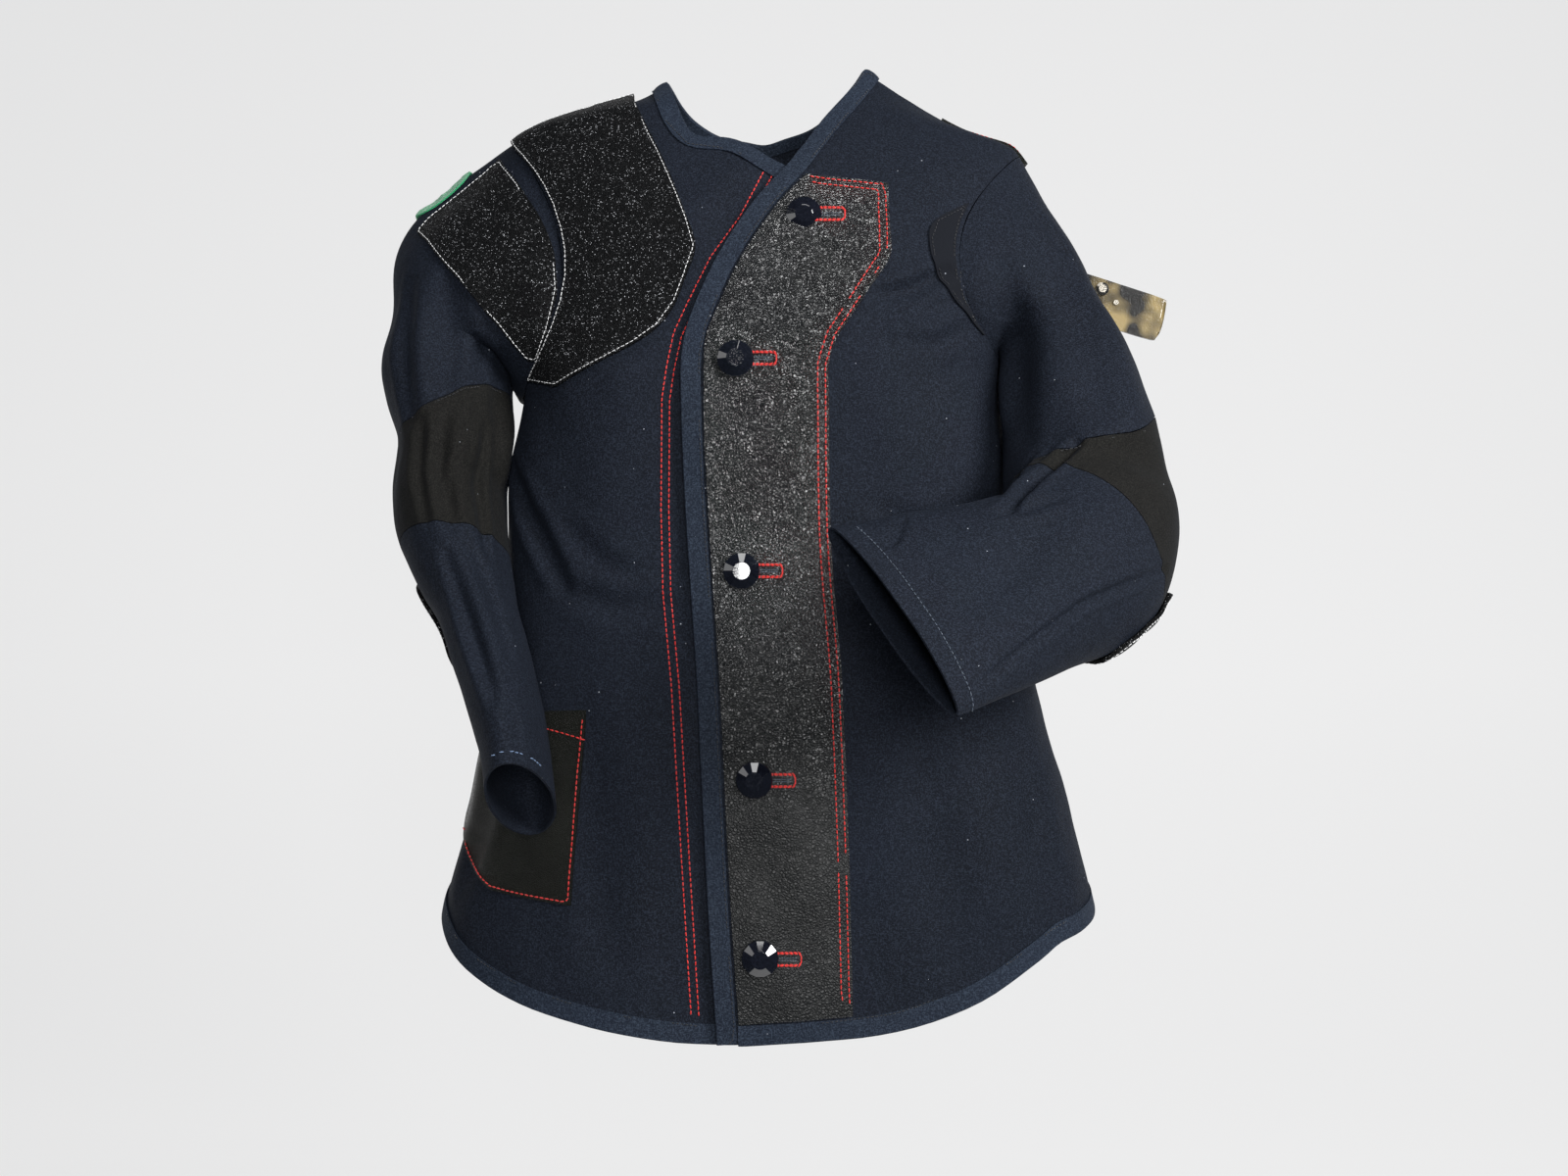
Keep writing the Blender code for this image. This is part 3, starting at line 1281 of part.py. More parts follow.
def main():
    clear_scene()
    canvas = finish_of("navy_canvas", NAVY, 0.75)
    tape = finish_of("navy_binding", NAVY_BINDING, 0.70)
    band = finish_of("elbow_cloth", BAND_BLACK, 0.85)
    leather = finish_of("black_leather", LEATHER_BLACK, 0.45)
    pocket_leather = finish_of("pocket_leather", POCKET_BLACK, 0.60)
    suede = finish_of("dark_suede", BAND_BLACK, 0.90)
    grit = finish_of("rubber_grit", GRIT_BLACK, 0.50)
    gloss = finish_of("gloss_button", BUTTON_BLACK, 0.06)
    green = finish_of("badge_green", BADGE_GREEN, 0.60)
    steel = finish_of("steel", STEEL, 0.30, 1.0)
    pieces = {
        "front_left": grid_on(BODY, front_left_places()),
        "front_right": grid_on((under_point, torso_normal), front_right_places()),
        "back_left": grid_on(BODY, back_half_places("left", BACK_NECK_LEFT)),
        "back_right": grid_on(BODY, back_half_places("right", BACK_NECK_RIGHT)),
    }
    left, right = pieces["front_left"], pieces["front_right"]
    add_panel("front_left", left, -CANVAS, 0.0, canvas)
    add_panel("front_right", right, -CANVAS, 0.0, canvas)
    add_back(pieces["back_left"], pieces["back_right"], canvas)
    add_bindings(pieces, tape)
    left_sheet, right_sheet = sheet_of(left), sheet_of(right)
    add_placket(left, left_sheet, leather)
    add_buttons(gloss)
    add_pocket(right_sheet, pocket_leather)
    add_gusset(left_sheet, suede)
    add_back_patch(sheet_of(pieces["back_left"]), suede)
    surfaces = {side: sleeve_surface(side) for side in ("right", "left")}
    sleeves = {side: add_sleeve(side, surface, canvas, band) for side, surface in surfaces.items()}
    for side, sleeve in sleeves.items():
        add_elbow_pad(side, *sleeve, grit)
    add_shoulder_pad(right_sheet, *sleeves["right"], grit)
    add_badge(*sleeves["right"], green)
    add_strap(surfaces["left"], leather, steel)


main()
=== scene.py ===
"""A target shooting jacket: its cloth, leather, grit rubber and sewing, dressed over the solids."""

import math

import bmesh
import bpy
import numpy as np
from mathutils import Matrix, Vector
from mathutils.bvhtree import BVHTree


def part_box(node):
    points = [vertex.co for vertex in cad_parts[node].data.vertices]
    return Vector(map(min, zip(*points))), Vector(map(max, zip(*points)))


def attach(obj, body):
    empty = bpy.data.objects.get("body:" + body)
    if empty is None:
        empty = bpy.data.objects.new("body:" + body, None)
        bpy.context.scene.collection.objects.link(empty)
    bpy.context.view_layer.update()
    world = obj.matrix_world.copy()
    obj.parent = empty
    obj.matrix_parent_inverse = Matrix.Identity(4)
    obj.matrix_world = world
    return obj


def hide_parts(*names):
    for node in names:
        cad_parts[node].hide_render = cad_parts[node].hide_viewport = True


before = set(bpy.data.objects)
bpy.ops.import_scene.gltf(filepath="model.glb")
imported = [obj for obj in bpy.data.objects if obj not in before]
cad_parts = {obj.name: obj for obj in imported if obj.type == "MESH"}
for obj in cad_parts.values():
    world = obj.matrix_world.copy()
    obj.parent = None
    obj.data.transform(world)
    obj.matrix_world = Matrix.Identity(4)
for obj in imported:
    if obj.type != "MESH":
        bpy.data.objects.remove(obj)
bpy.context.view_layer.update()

bl_info = {
    "name": "Shooting jacket dresser",
    "version": (1, 0, 0),
    "blender": (4, 5, 0),
    "location": "View3D > Sidebar > Jacket",
    "description": "Dresses the jacket's solids with creased canvas, leather, grit and stitches",
    "category": "Object",
}

# Metres, +X to the wearer's left, the wearer facing -Y, +Z up from the shoulder line.

BODY = "root"
MM = 0.001

# A form: how close corners merge, the bends that make a rim and that keep triangles apart, and the
# passes that bring a smoothed form back to its solid's corners.
MERGE = 0.00002
RIM_BEND = math.radians(56)
QUAD_BEND = math.radians(50)
QUAD_SKEW = math.radians(70)
FORM_PASSES = 4

# The camera stands level in front of the placket. Lines seen from the front are given where they
# cross the plane of the chest, and level lines from the back start behind it.
CAMERA_PLACE = (0.016, -1.25, -0.417)
LENS = 35.0
SENSOR = 36.0
CHEST_Y = -0.115
BEHIND = 1.0

# The trunk's middle from front to back, its half width and its half depth.
TRUNK_Y = -0.004
TRUNK_WIDTH = 0.205
TRUNK_DEPTH = 0.105

# The middles of the sleeves' rings, from shoulder to cuff.
ARM_LINES = {
    "right": (
        (-0.2050, 0.000, -0.1500),
        (-0.2505, -0.012, -0.2260),
        (-0.2440, -0.044, -0.3000),
        (-0.2344, -0.080, -0.3900),
        (-0.1930, -0.134, -0.4850),
        (-0.1680, -0.186, -0.5655),
    ),
    "left": (
        (0.1950, 0.000, -0.1400),
        (0.2290, -0.030, -0.2180),
        (0.2437, -0.099, -0.3390),
        (0.2215, -0.161, -0.3990),
        (0.1380, -0.234, -0.4250),
        (0.0840, -0.280, -0.4365),
    ),
}

# Pieces: node, what it goes round, finish, smoothing steps, and the piece that it lies on.
CANVAS_PIECES = (
    ("front_right", "body", "navy_canvas", 3, None),
    ("front_left", "body", "navy_canvas", 3, None),
    ("back", "body", "navy_canvas", 3, None),
    ("sleeve_right_upper", "right", "navy_canvas", 3, None),
    ("sleeve_right_forearm", "right", "navy_canvas", 3, None),
    ("sleeve_left_upper", "left", "navy_canvas", 3, None),
    ("sleeve_left_forearm", "left", "navy_canvas", 3, None),
    ("elbow_band_right", "right", "elbow_cloth", 3, None),
    ("elbow_band_left", "left", "elbow_cloth", 3, None),
)
BINDING_PIECES = (
    ("binding_front_left", "body", "navy_binding", 2, None),
    ("binding_neck_right", "body", "navy_binding", 2, None),
    ("binding_neck_back", "body", "navy_binding", 2, None),
    ("hem_binding_left", "body", "navy_binding", 2, None),
    ("hem_binding_right", "body", "navy_binding", 2, None),
    ("hem_binding_back", "body", "navy_binding", 2, None),
)
LAID_PIECES = (
    ("placket", "body", "black_leather", 3, "front_left"),
    ("pocket", "body", "pocket_leather", 2, "front_right"),
    ("shoulder_pad_body", "body", "rubber_grit", 2, "front_right"),
    ("shoulder_pad_sleeve", "right", "rubber_grit", 2, "sleeve_right_upper"),
    ("elbow_pad_right", "right", "rubber_grit", 2, "sleeve_right_forearm"),
    ("elbow_pad_left", "left", "rubber_grit", 2, "sleeve_left_forearm"),
    ("shoulder_patch_back", "body", "pocket_leather", 2, "back"),
    ("gusset_left", "body", "dark_suede", 2, None),
    ("badge", "right", "badge_green", 2, "sleeve_right_upper"),
    ("arm_strap", "left", "strap_leather", 2, None),
)
PIECES = CANVAS_PIECES + BINDING_PIECES + LAID_PIECES

# How far a laid piece stands off the one below, and how deep it may sink before it is left.
SEAT_GAP = 0.0003
SEAT_REACH = 0.004

# Creases, by what they go round and the side they are seen from: the line there (across, height),
# the depth (a ridge is less than 0) and the half width, all in mm.
CREASES = {
    ("body", "front"): (
        (((-188, -316), (-178, -352), (-164, -381), (-148, -414)), 6, 8),
        (((138, -182), (110, -196), (86, -199)), 5, 7),
        (((150, -213), (128, -222), (100, -224)), -3, 8),
        (((-150, -420), (-112, -432), (-72, -430)), 2.6, 10),
        (((-146, -372), (-120, -398), (-96, -408)), 2.2, 9),
        (((86, -356), (112, -374), (146, -372)), 2.4, 10),
        (((-140, -520), (-122, -600), (-114, -690)), 2.8, 18),
        (((110, -520), (126, -600), (148, -690)), 3.4, 20),
        (((190, -540), (205, -610), (222, -680)), 3, 14),
        (((-196, -530), (-206, -590), (-222, -640)), 3, 13),
        (((32, -150), (52, -172), (70, -188)), 2.6, 6),
        (((26, -170), (46, -190), (60, -206)), -2.2, 7),
        (((-10, -236), (12, -262), (28, -300)), 1.6, 8),
    ),
    ("body", "back"): (
        (((-150, -250), (-105, -285), (-50, -300)), 4.6, 12),
        (((152, -240), (110, -280), (62, -292)), 4.2, 11),
        (((-120, -395), (-35, -415), (60, -402)), 3.4, 14),
        (((145, -430), (80, -452), (20, -448)), 2.8, 12),
        (((-105, -500), (-120, -590), (-140, -690)), 4.4, 20),
        (((12, -520), (6, -610), (16, -705)), 3.4, 22),
        (((128, -500), (144, -590), (152, -690)), 4.8, 19),
        (((-85, -90), (-120, -150), (-138, -215)), 2.6, 12),
    ),
    ("right", "front"): (
        (((-232, -180), (-236, -236), (-230, -290)), 5, 12),
        (((-262, -190), (-266, -245), (-262, -292)), 4, 8),
        (((-206, -225), (-214, -262), (-214, -300)), 2.6, 7),
        (((-206, -296), (-212, -340), (-206, -390)), 4.6, 5),
        (((-236, -290), (-240, -330), (-232, -372)), 4, 6),
        (((-222, -312), (-224, -350), (-216, -385)), -2.6, 5),
        (((-254, -292), (-256, -330), (-250, -366)), 2.8, 5),
        (((-236, -392), (-220, -436), (-200, -500)), 5.2, 6),
        (((-214, -392), (-198, -432), (-188, -470)), 2.6, 6),
        (((-190, -498), (-184, -520), (-182, -540)), 1.6, 5),
        (((-191, -272), (-190, -300), (-192, -330)), -5, 12),
    ),
    ("right", "back"): (
        (((-255, -180), (-262, -230), (-255, -290)), 3.4, 11),
        (((-215, -310), (-240, -330), (-262, -335)), 3.8, 7),
        (((-205, -400), (-222, -410), (-238, -406)), 3, 7),
    ),
    ("left", "front"): (
        (((198, -132), (212, -150), (224, -166)), 3.2, 6),
        (((176, -180), (190, -242), (196, -305)), 4, 13),
        (((222, -170), (240, -225), (252, -285)), 4, 16),
        (((178, -360), (203, -338), (234, -309)), 7.5, 5),
        (((184, -352), (198, -330), (208, -318)), -2.6, 5),
        (((172, -362), (205, -356), (224, -350)), 2.6, 5),
        (((116, -352), (104, -365), (96, -386)), 4.6, 3.6),
        (((100, -350), (78, -354), (56, -362)), 1.6, 4),
        (((300, -402), (235, -430), (165, -487)), 3.4, 3.6),
        (((214, -372), (186, -404), (160, -430)), 3.4, 15),
        (((260, -372), (240, -398), (214, -412)), 1.6, 12),
        (((180, -258), (180, -275), (181, -292)), -2.6, 10),
    ),
    ("left", "back"): (
        (((240, -170), (262, -230), (270, -290)), 3.6, 12),
        (((262, -350), (235, -368), (200, -372)), 4, 8),
        (((240, -398), (205, -414), (165, -416)), 3.2, 8),
    ),
}

# The ridges beside a crease, as a share of its depth and in half widths, and a line's step.
RIDGE_SHARE = 0.42
RIDGE_PLACE = 1.75
CREASE_STEP = 0.006

# Soft waves of the cloth: direction, waves a metre, height in mm.
WAVES = (
    ((0.62, 0.31, 0.72), 11.0, 0.42),
    ((-0.48, 0.55, 0.68), 17.0, 0.30),
    ((0.90, -0.25, 0.35), 23.0, 0.20),
    ((0.20, 0.85, -0.48), 31.0, 0.14),
    ((-0.72, -0.20, 0.66), 43.0, 0.08),
)

# Stitch rows along a piece's rim: group, piece, thread, distances from the rim in mm, then the
# side they are seen from and three places on that rim in mm, or None for the whole rim.
RIM_ROWS = (
    ("placket", "placket", "red", (2.6, 8.4), "front", ((31, -109), (49, -252), (68, -733))),
    ("pocket", "pocket", "red", (2.4,), "front", ((-130, -510), (-130, -570), (-218, -595))),
    ("pads", "shoulder_pad_body", "white", (1.6,), "front", None),
    ("pads", "shoulder_pad_sleeve", "white", (1.6,), "front", None),
    ("pads", "elbow_pad_right", "white", (1.6,), "front", None),
    ("pads", "elbow_pad_left", "white", (1.6,), "front", None),
    ("patch", "shoulder_patch_back", "red", (2.2,), "back", None),
    ("gusset", "gusset_left", "dark", (1.8,), "front", None),
    ("strap", "arm_strap", "dark", (2.0,), "back", None),
    ("binding", "binding_front_left", "dark", (1.6,), "front", ((64, -48), (-43, -340), (-24, -750))),
    ("binding", "binding_neck_right", "dark", (1.6,), "front", ((-76, -50), (-50, -92), (-4, -101))),
    ("hem", "hem_binding_left", "dark", (1.4,), "front", ((30, -740), (140, -710), (220, -650))),
    ("hem", "hem_binding_right", "dark", (1.4,), "front", ((-50, -733), (-150, -718), (-225, -660))),
    ("hem", "hem_binding_back", "dark", (1.4,), "back", ((220, -650), (0, -725), (-220, -650))),
    ("cuffs", "sleeve_right_forearm", "blue", (9.0,), "front",
     ((-196, -552), (-180, -550), (-165, -552))),
    ("cuffs", "sleeve_left_forearm", "pale", (14.5,), "front", ((60, -368), (100, -430), (150, -510))),
    ("sleeves", "elbow_band_right", "dark", (1.6,), "front", ((-256, -280), (-235, -285), (-200, -290))),
    ("sleeves", "elbow_band_left", "dark", (1.6,), "front", ((190, -330), (230, -305), (280, -290))),
)

# A row's step along its line, the share of its distance from the rim that each stitch keeps from
# every part of the rim, and its lift as a share of the thread.
ROW_STEP = 0.002
ROW_KEEP = 0.90
ROW_LIFT = 0.45

# Stitch rows seen from the front on one piece: group, piece, thread, and its line in mm.
FRONT_ROWS = (
    ("right_front", "front_right", "red",
     ((0, -108.5), (-17.2, -141.1), (-38.6, -170.3), (-56.2, -205.3), (-66.3, -227.2), (-71.6, -252.8),
      (-75, -276), (-75.6, -358.6), (-74.2, -420), (-67.9, -490), (-60.7, -614.1), (-53.4, -733))),
    ("right_front", "front_right", "red",
     ((6.6, -111), (-11.8, -144), (-33, -173.5), (-50.4, -208.5), (-60.5, -230.2), (-65.8, -254.5),
      (-69.2, -277), (-69.8, -358.6), (-68.4, -420), (-62.1, -490), (-54.9, -614.1), (-47.6, -734))),
    ("pocket", "pocket", "red",
     ((-164, -521), (-147, -525.5), (-130, -531))),
    ("placket_foot", "placket", "dark",
     ((-23, -739), (22, -740), (64, -736))),
    ("shoulder", "front_left", "dark",
     ((183, -118), (160, -142), (149, -166), (146, -200))),
)

# Threads: shade, share of the plain stitch length, share of the plain thread radius.
THREADS = {
    "red": ((0.620, 0.018, 0.014), 1.00, 0.95),
    "white": ((0.800, 0.810, 0.800), 0.90, 0.55),
    "dark": ((0.004, 0.005, 0.008), 0.75, 0.62),
    "pale": ((0.060, 0.080, 0.110), 0.80, 0.60),
    "blue": ((0.130, 0.200, 0.330), 0.90, 0.70),
}
STITCH_TREE = "Stitches along a row"
STITCH_HALF = 0.56
STITCH_LEAN = 0.10

# Buttons from the top, and one button's rings from its back (radius, rise), facets and bevels.
BUTTONS = ("button_1", "button_2", "button_3", "button_4", "button_5")
BUTTON_PROFILE = ((0.0105, -0.0004), (0.0136, 0.0008), (0.0140, 0.0020), (0.0136, 0.0030), (0.0066, 0.0076))
BUTTON_FACETS = 14
BUTTON_BEND = math.radians(12)
BUTTON_BEVEL = 0.00022
FITTINGS = ("snap_1", "snap_2", "eyelet_1", "eyelet_2", "eyelet_3")

# A buttonhole from its button's middle, in mm: where its border starts and ends, the half heights of
# the border's two rows, its cut corners, and the slit. Lift and sink are shares of the thread and lift.
HOLE_START = 6.0
HOLE_REACH = 30.5
HOLE_HALVES = (5.0, 4.1)
HOLE_CORNER = 1.5
HOLE_LIFT = 0.35
SLIT_START = 8.0
SLIT_END = 4.0
SLIT_HALF = 0.9
SLIT_SINK = 0.2

# The stage: where the floor starts in front, its bend up into the backdrop, that bend's steps, the
# backdrop's height and half width, and the lights (name, place, aim, size).
FLOOR_FRONT = -0.3
SWEEP_BEND = 0.8
SWEEP_STEPS = 12
SWEEP_TOP = 4.5
SWEEP_HALF = 6.0
LIGHTS = (
    ("key", (1.60, -1.55, 0.50), (0.02, 0.0, -0.36), 0.9),
    ("fill", (-1.9, -0.9, 0.3), (0.0, 0.0, -0.38), 1.0),
    ("top", (0.1, -1.0, 1.35), (0.0, 0.0, -0.2), 0.9),
    ("front", (0.22, -2.3, -0.28), (0.02, 0.0, -0.40), 0.6),
)


def shade(name, text, value):
    """A colour that the panel shows."""
    return bpy.props.FloatVectorProperty(name=name, description=text, subtype="COLOR", default=value)


def measure(name, text, value, unit="LENGTH"):
    """A number that the panel shows."""
    return bpy.props.FloatProperty(name=name, description=text, unit=unit, default=value)


class JacketColours(bpy.types.PropertyGroup):
    """Shades of the cloth, leather and fittings."""

    canvas: shade("Canvas", "Navy of the stiff canvas", (0.0052, 0.0068, 0.0110))
    # canvas_lit, binding_lit and elbow_lit are painted highlight on the raised thread tops, lighter copies of
    # the cloth colours.
    canvas_lit: shade("Canvas threads", "Worn tops of the canvas threads", (0.0165, 0.0215, 0.0330))
    binding: shade("Binding", "Navy of the tape on the edges", (0.0100, 0.0140, 0.0230))
    binding_lit: shade("Binding threads", "Worn tops of the tape's threads", (0.0300, 0.0410, 0.0610))
    elbow_lit: shade("Elbow threads", "Worn tops of the elbow cloth", (0.0190, 0.0184, 0.0165))
    elbow: shade("Elbow cloth", "Brown black of the bands at the elbows", (0.0050, 0.0050, 0.0046))
    leather: shade("Placket leather", "Black of the placket", (0.0060, 0.0066, 0.0068))
    pocket: shade("Pocket leather", "Olive black of the pocket", (0.0090, 0.0096, 0.0078))
    suede: shade("Gusset suede", "Dark suede under the arm", (0.0080, 0.0090, 0.0120))
    grit: shade("Grit", "Black of the rubber grit", (0.0022, 0.0024, 0.0028))
    speck: shade("Grit specks", "Glints in the grit", (0.8600, 0.8800, 0.9200))
    button: shade("Buttons", "Gloss black of the buttons", (0.0030, 0.0035, 0.0060))
    badge: shade("Badge", "Green of the plain sleeve badge", (0.0100, 0.3000, 0.1100))
    steel: shade("Steel", "Snaps and eyelets of the strap", (0.6000, 0.5600, 0.4800))


class JacketSewing(bpy.types.PropertyGroup):
    """Sizes of the stitches and of the creases."""

    stitch: measure("Stitch", "Length of one stitch", 0.0031)
    gap: measure("Gap", "Bare cloth between two stitches", 0.0010)
    thread: measure("Thread", "Radius of the thread", 0.00062)
    crease: measure("Creases", "Share of the creases' depth", 1.0, "NONE")
    seed: bpy.props.IntProperty(name="Seed", description="Fixed seed of the stitches' lean", default=7)


class JacketStage(bpy.types.PropertyGroup):
    """Floor and lights."""

    floor_drop: measure("Floor drop", "Floor below the shoulder line", 1.42)
    backdrop: measure("Backdrop", "Distance of the backdrop behind", 2.4)
    key: measure("Key light", "Power of the main light", 64.0, "POWER")
    fill: measure("Fill light", "Power of the side light", 4.0, "POWER")
    top: measure("Top light", "Power of the light above", 10.0, "POWER")
    front: measure("Front light", "Power of the light before the chest", 34.0, "POWER")
    paper_glow: measure("Paper glow", "Light that the backdrop gives back", 0.67, "NONE")
    air: measure("Room light", "Strength of the room light", 0.05, "NONE")


# Form.

trees = {}


def corners(mesh):
    """A mesh's corner places as an array."""
    places = np.empty(len(mesh.vertices) * 3)
    mesh.vertices.foreach_get("co", places)
    return places.reshape(-1, 3)


def put_corners(mesh, places):
    """Moves a mesh's corners."""
    mesh.vertices.foreach_set("co", np.ascontiguousarray(places, dtype=np.float64).ravel())
    mesh.update()


def unit(vectors):
    """Each vector at length one."""
    return vectors / np.maximum(np.linalg.norm(vectors, axis=-1, keepdims=True), 1e-9)


def shown(name, data):
    """A new object of a mesh, a lamp or a lens, standing at the origin."""
    piece = bpy.data.objects.new(name, data)
    bpy.context.scene.collection.objects.link(piece)
    return piece


def merged(node):
    """A closed copy of a solid, in quads where its triangles pair up."""
    solid = bmesh.new()
    solid.from_mesh(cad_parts[node].data)
    bmesh.ops.remove_doubles(solid, verts=solid.verts[:], dist=MERGE)
    bmesh.ops.join_triangles(
        solid, faces=solid.faces[:], angle_face_threshold=QUAD_BEND, angle_shape_threshold=QUAD_SKEW)
    return solid


def evaluated(piece):
    """A plain mesh of a piece with its modifiers."""
    graph = bpy.context.evaluated_depsgraph_get()
    graph.update()
    return bpy.data.meshes.new_from_object(piece.evaluated_get(graph))


def smooth_form(node, levels):
    """A smooth mesh through a solid's corners, with crisp rims."""
    solid = merged(node)
    crease = solid.edges.layers.float.new("crease_edge")
    for edge in solid.edges:
        if not edge.is_manifold or edge.calc_face_angle(0.0) > RIM_BEND:
            edge[crease] = 1.0
            edge.smooth = False
    for face in solid.faces:
        face.smooth = True
    cage = bpy.data.meshes.new(node + "_cage")
    solid.to_mesh(cage)
    solid.free()
    piece = shown(node + "_cage", cage)
    smoothing = piece.modifiers.new("Smooth form", "SUBSURF")
    smoothing.levels = 1
    smoothing.render_levels = 1
    target = corners(cage)
    for _ in range(FORM_PASSES):
        limit = evaluated(piece)
        put_corners(cage, corners(cage) + target - corners(limit)[: len(target)])
        bpy.data.meshes.remove(limit)
    smoothing.levels = levels
    smoothing.render_levels = levels
    form = evaluated(piece)
    bpy.data.objects.remove(piece)
    bpy.data.meshes.remove(cage)
    return form


def along(points, step, ways=None):
    """Places at even steps along a line of points, with the ways given at its points."""
    points = np.asarray(points, float)
    lengths = np.r_[0.0, np.cumsum(np.linalg.norm(np.diff(points, axis=0), axis=1))]
    count = max(2, int(round(lengths[-1] / step)) + 1)
    wanted = np.linspace(0.0, lengths[-1], count)
    spread = [np.stack([np.interp(wanted, lengths, values[:, axis]) for axis in range(points.shape[1])], axis=1)
              for values in (points, ways) if values is not None]
    return spread[0] if ways is None else spread


def nearest_on_line(places, line):
    """For each place the nearest point of a line, the distance, and the share of the way along."""
    starts = line[:-1]
    ways = line[1:] - line[:-1]
    lengths = np.maximum((ways * ways).sum(1), 1e-12)
    best = np.full(len(places), np.inf)
    found = np.zeros_like(places)
    share = np.zeros(len(places))
    for index, (start, way, length) in enumerate(zip(starts, ways, lengths)):
        part = np.clip(((places - start) @ way) / length, 0.0, 1.0)
        spot = start + part[:, None] * way
        distance = np.linalg.norm(places - spot, axis=1)
        closer = distance < best
        best[closer] = distance[closer]
        found[closer] = spot[closer]
        share[closer] = (index + part[closer]) / len(starts)
    return found, best, share


def away(places, wrap):
    """The way out of the trunk or out of a sleeve, at each place."""
    if wrap == "body":
        across = places[:, 0] / TRUNK_WIDTH**2
        return unit(np.stack([across, (places[:, 1] - TRUNK_Y) / TRUNK_DEPTH**2, 0.0 * across], axis=1))
    found, _, _ = nearest_on_line(places, np.array(ARM_LINES[wrap]))
    return unit(places - found)


def sight(side, across, height):
    """A line of sight from the camera, or a level line from the back: its start and its way."""
    if side == "front":
        start = np.array(CAMERA_PLACE)
        way = np.array((across, CHEST_Y, height)) - start
    else:
        start = np.array((across, BEHIND, height))
        way = np.array((0.0, -1.0, 0.0))
    return start, way / np.linalg.norm(way)


def tree_of(mesh):
    """A search tree of a mesh's faces."""
    return BVHTree.FromPolygons([v.co[:] for v in mesh.vertices], [p.vertices[:] for p in mesh.polygons])


def crease_lines(wrap):
    """The creases of the trunk or of a sleeve as lines in space, with depth and half width."""
    surfaces = [tree_of(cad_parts[row[0]].data) for row in PIECES if row[1] == wrap and row[4] is None]
    lines = []
    for side in ("front", "back"):
        for places, depth, half in CREASES[wrap, side]:
            line = []
            for x, z in along(np.array(places) * MM, CREASE_STEP):
                hits = [surface.ray_cast(*sight(side, x, z)) for surface in surfaces]
                hits = [hit for hit in hits if hit[0] is not None]
                if hits:
                    line.append(min(hits, key=lambda hit: hit[3])[0][:])
            if len(line) > 2:
                lines.append((np.array(line), depth * MM, half * MM))
    return lines


def cloth_shift(places, wrap):
    """How far the creases and soft waves move each place."""
    depth = np.zeros(len(places))
    share = bpy.context.scene.jacket_sewing.crease
    for line, deep, half in CREASE_SETS[wrap]:
        low = line.min(0) - 4.0 * half
        high = line.max(0) + 4.0 * half
        near = np.where(((places > low) & (places < high)).all(1))[0]
        if not len(near):
            continue
        _, distance, part = nearest_on_line(places[near], line)
        fade = np.sin(np.pi * np.clip(0.12 + 0.76 * part, 0.0, 1.0)) ** 0.8
        reach = distance / (half * (0.65 + 0.35 * fade))
        valley = np.exp(-reach**2)
        ridge = RIDGE_SHARE * np.exp(-1.4 * (reach - RIDGE_PLACE) ** 2)
        depth[near] += share * deep * fade * (ridge - valley)
    for way, rate, height in WAVES:
        depth += height * MM * np.sin(2.0 * np.pi * rate * (places @ np.array(way)) + 3.0 * rate)
    return away(places, wrap) * depth[:, None]


def seat(places, tree, lift):
    """Lifts the places that would sink into the surface below them."""
    moved = places.copy()
    for index, place in enumerate(places):
        spot, normal, _, _ = tree.find_nearest(place)
        height = (Vector(place) - spot).dot(normal)
        if -SEAT_REACH < height < lift:
            moved[index] = place + np.array(normal) * (lift - height)
    return moved


def settle(piece, node):
    """Hides a piece's solid and hangs the piece on the body it rides on."""
    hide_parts(node)
    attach(piece, BODY)


def make_piece(row):
    """Makes one cloth or leather piece on its solid's form."""
    node, wrap, finish, levels, below = row
    form = smooth_form(node, levels)
    places = corners(form)
    places = places + cloth_shift(places, wrap)
    if below is not None:
        places = seat(places, trees[below], SEAT_GAP)
    put_corners(form, places)
    form.name = node + "_form"
    piece = shown(f"{node}_{finish.split('_')[-1]}", form)
    form.materials.clear()
    form.materials.append(finish_material(finish))
    settle(piece, node)
    trees[node] = tree_of(form)


# Sewing.


def outer_patch(solid, wrap):
    """The faces of a piece's outer side."""
    middle = np.array([face.calc_center_median()[:] for face in solid.faces])
    outward = away(middle, wrap)
    seen = set()
    best = (-1.0, ())
    for first in solid.faces:
        if first in seen:
            continue
        patch = []
        waiting = [first]
        seen.add(first)
        while waiting:
            face = waiting.pop()
            patch.append(face)
            for edge in face.edges:
                if len(edge.link_faces) != 2 or edge.calc_face_angle(0.0) > RIM_BEND:
                    continue
                for other in edge.link_faces:
                    if other not in seen:
                        seen.add(other)
                        waiting.append(other)
        score = sum(f.calc_area() * float(np.dot(f.normal, outward[f.index])) for f in patch)
        if score > best[0]:
            best = (score, patch)
    return set(best[1])


def rim_loops(node, wrap):
    """The rims of a piece's outer side, each a loop of places with the ways in from the rim."""
    solid = merged(node)
    solid.faces.ensure_lookup_table()
    solid.faces.index_update()
    patch = outer_patch(solid, wrap)
    after = {}
    for face in patch:
        for loop in face.loops:
            others = [other for other in loop.edge.link_faces if other in patch]
            if len(others) == 1:
                way = loop.link_loop_next.vert.co - loop.vert.co
                after[loop.vert] = (loop.link_loop_next.vert, face.normal.cross(way).normalized())
    loops = []
    while after:
        vertex = min(after, key=lambda v: v.index)
        places = []
        inward = []
        while vertex in after:
            following, way_in = after.pop(vertex)
            places.append(vertex.co[:])
            inward.append(way_in[:])
            vertex = following
        inward = np.array(inward)
        loops.append((np.array(places), unit(inward + np.roll(inward, 1, axis=0))))
    solid.free()
    return loops


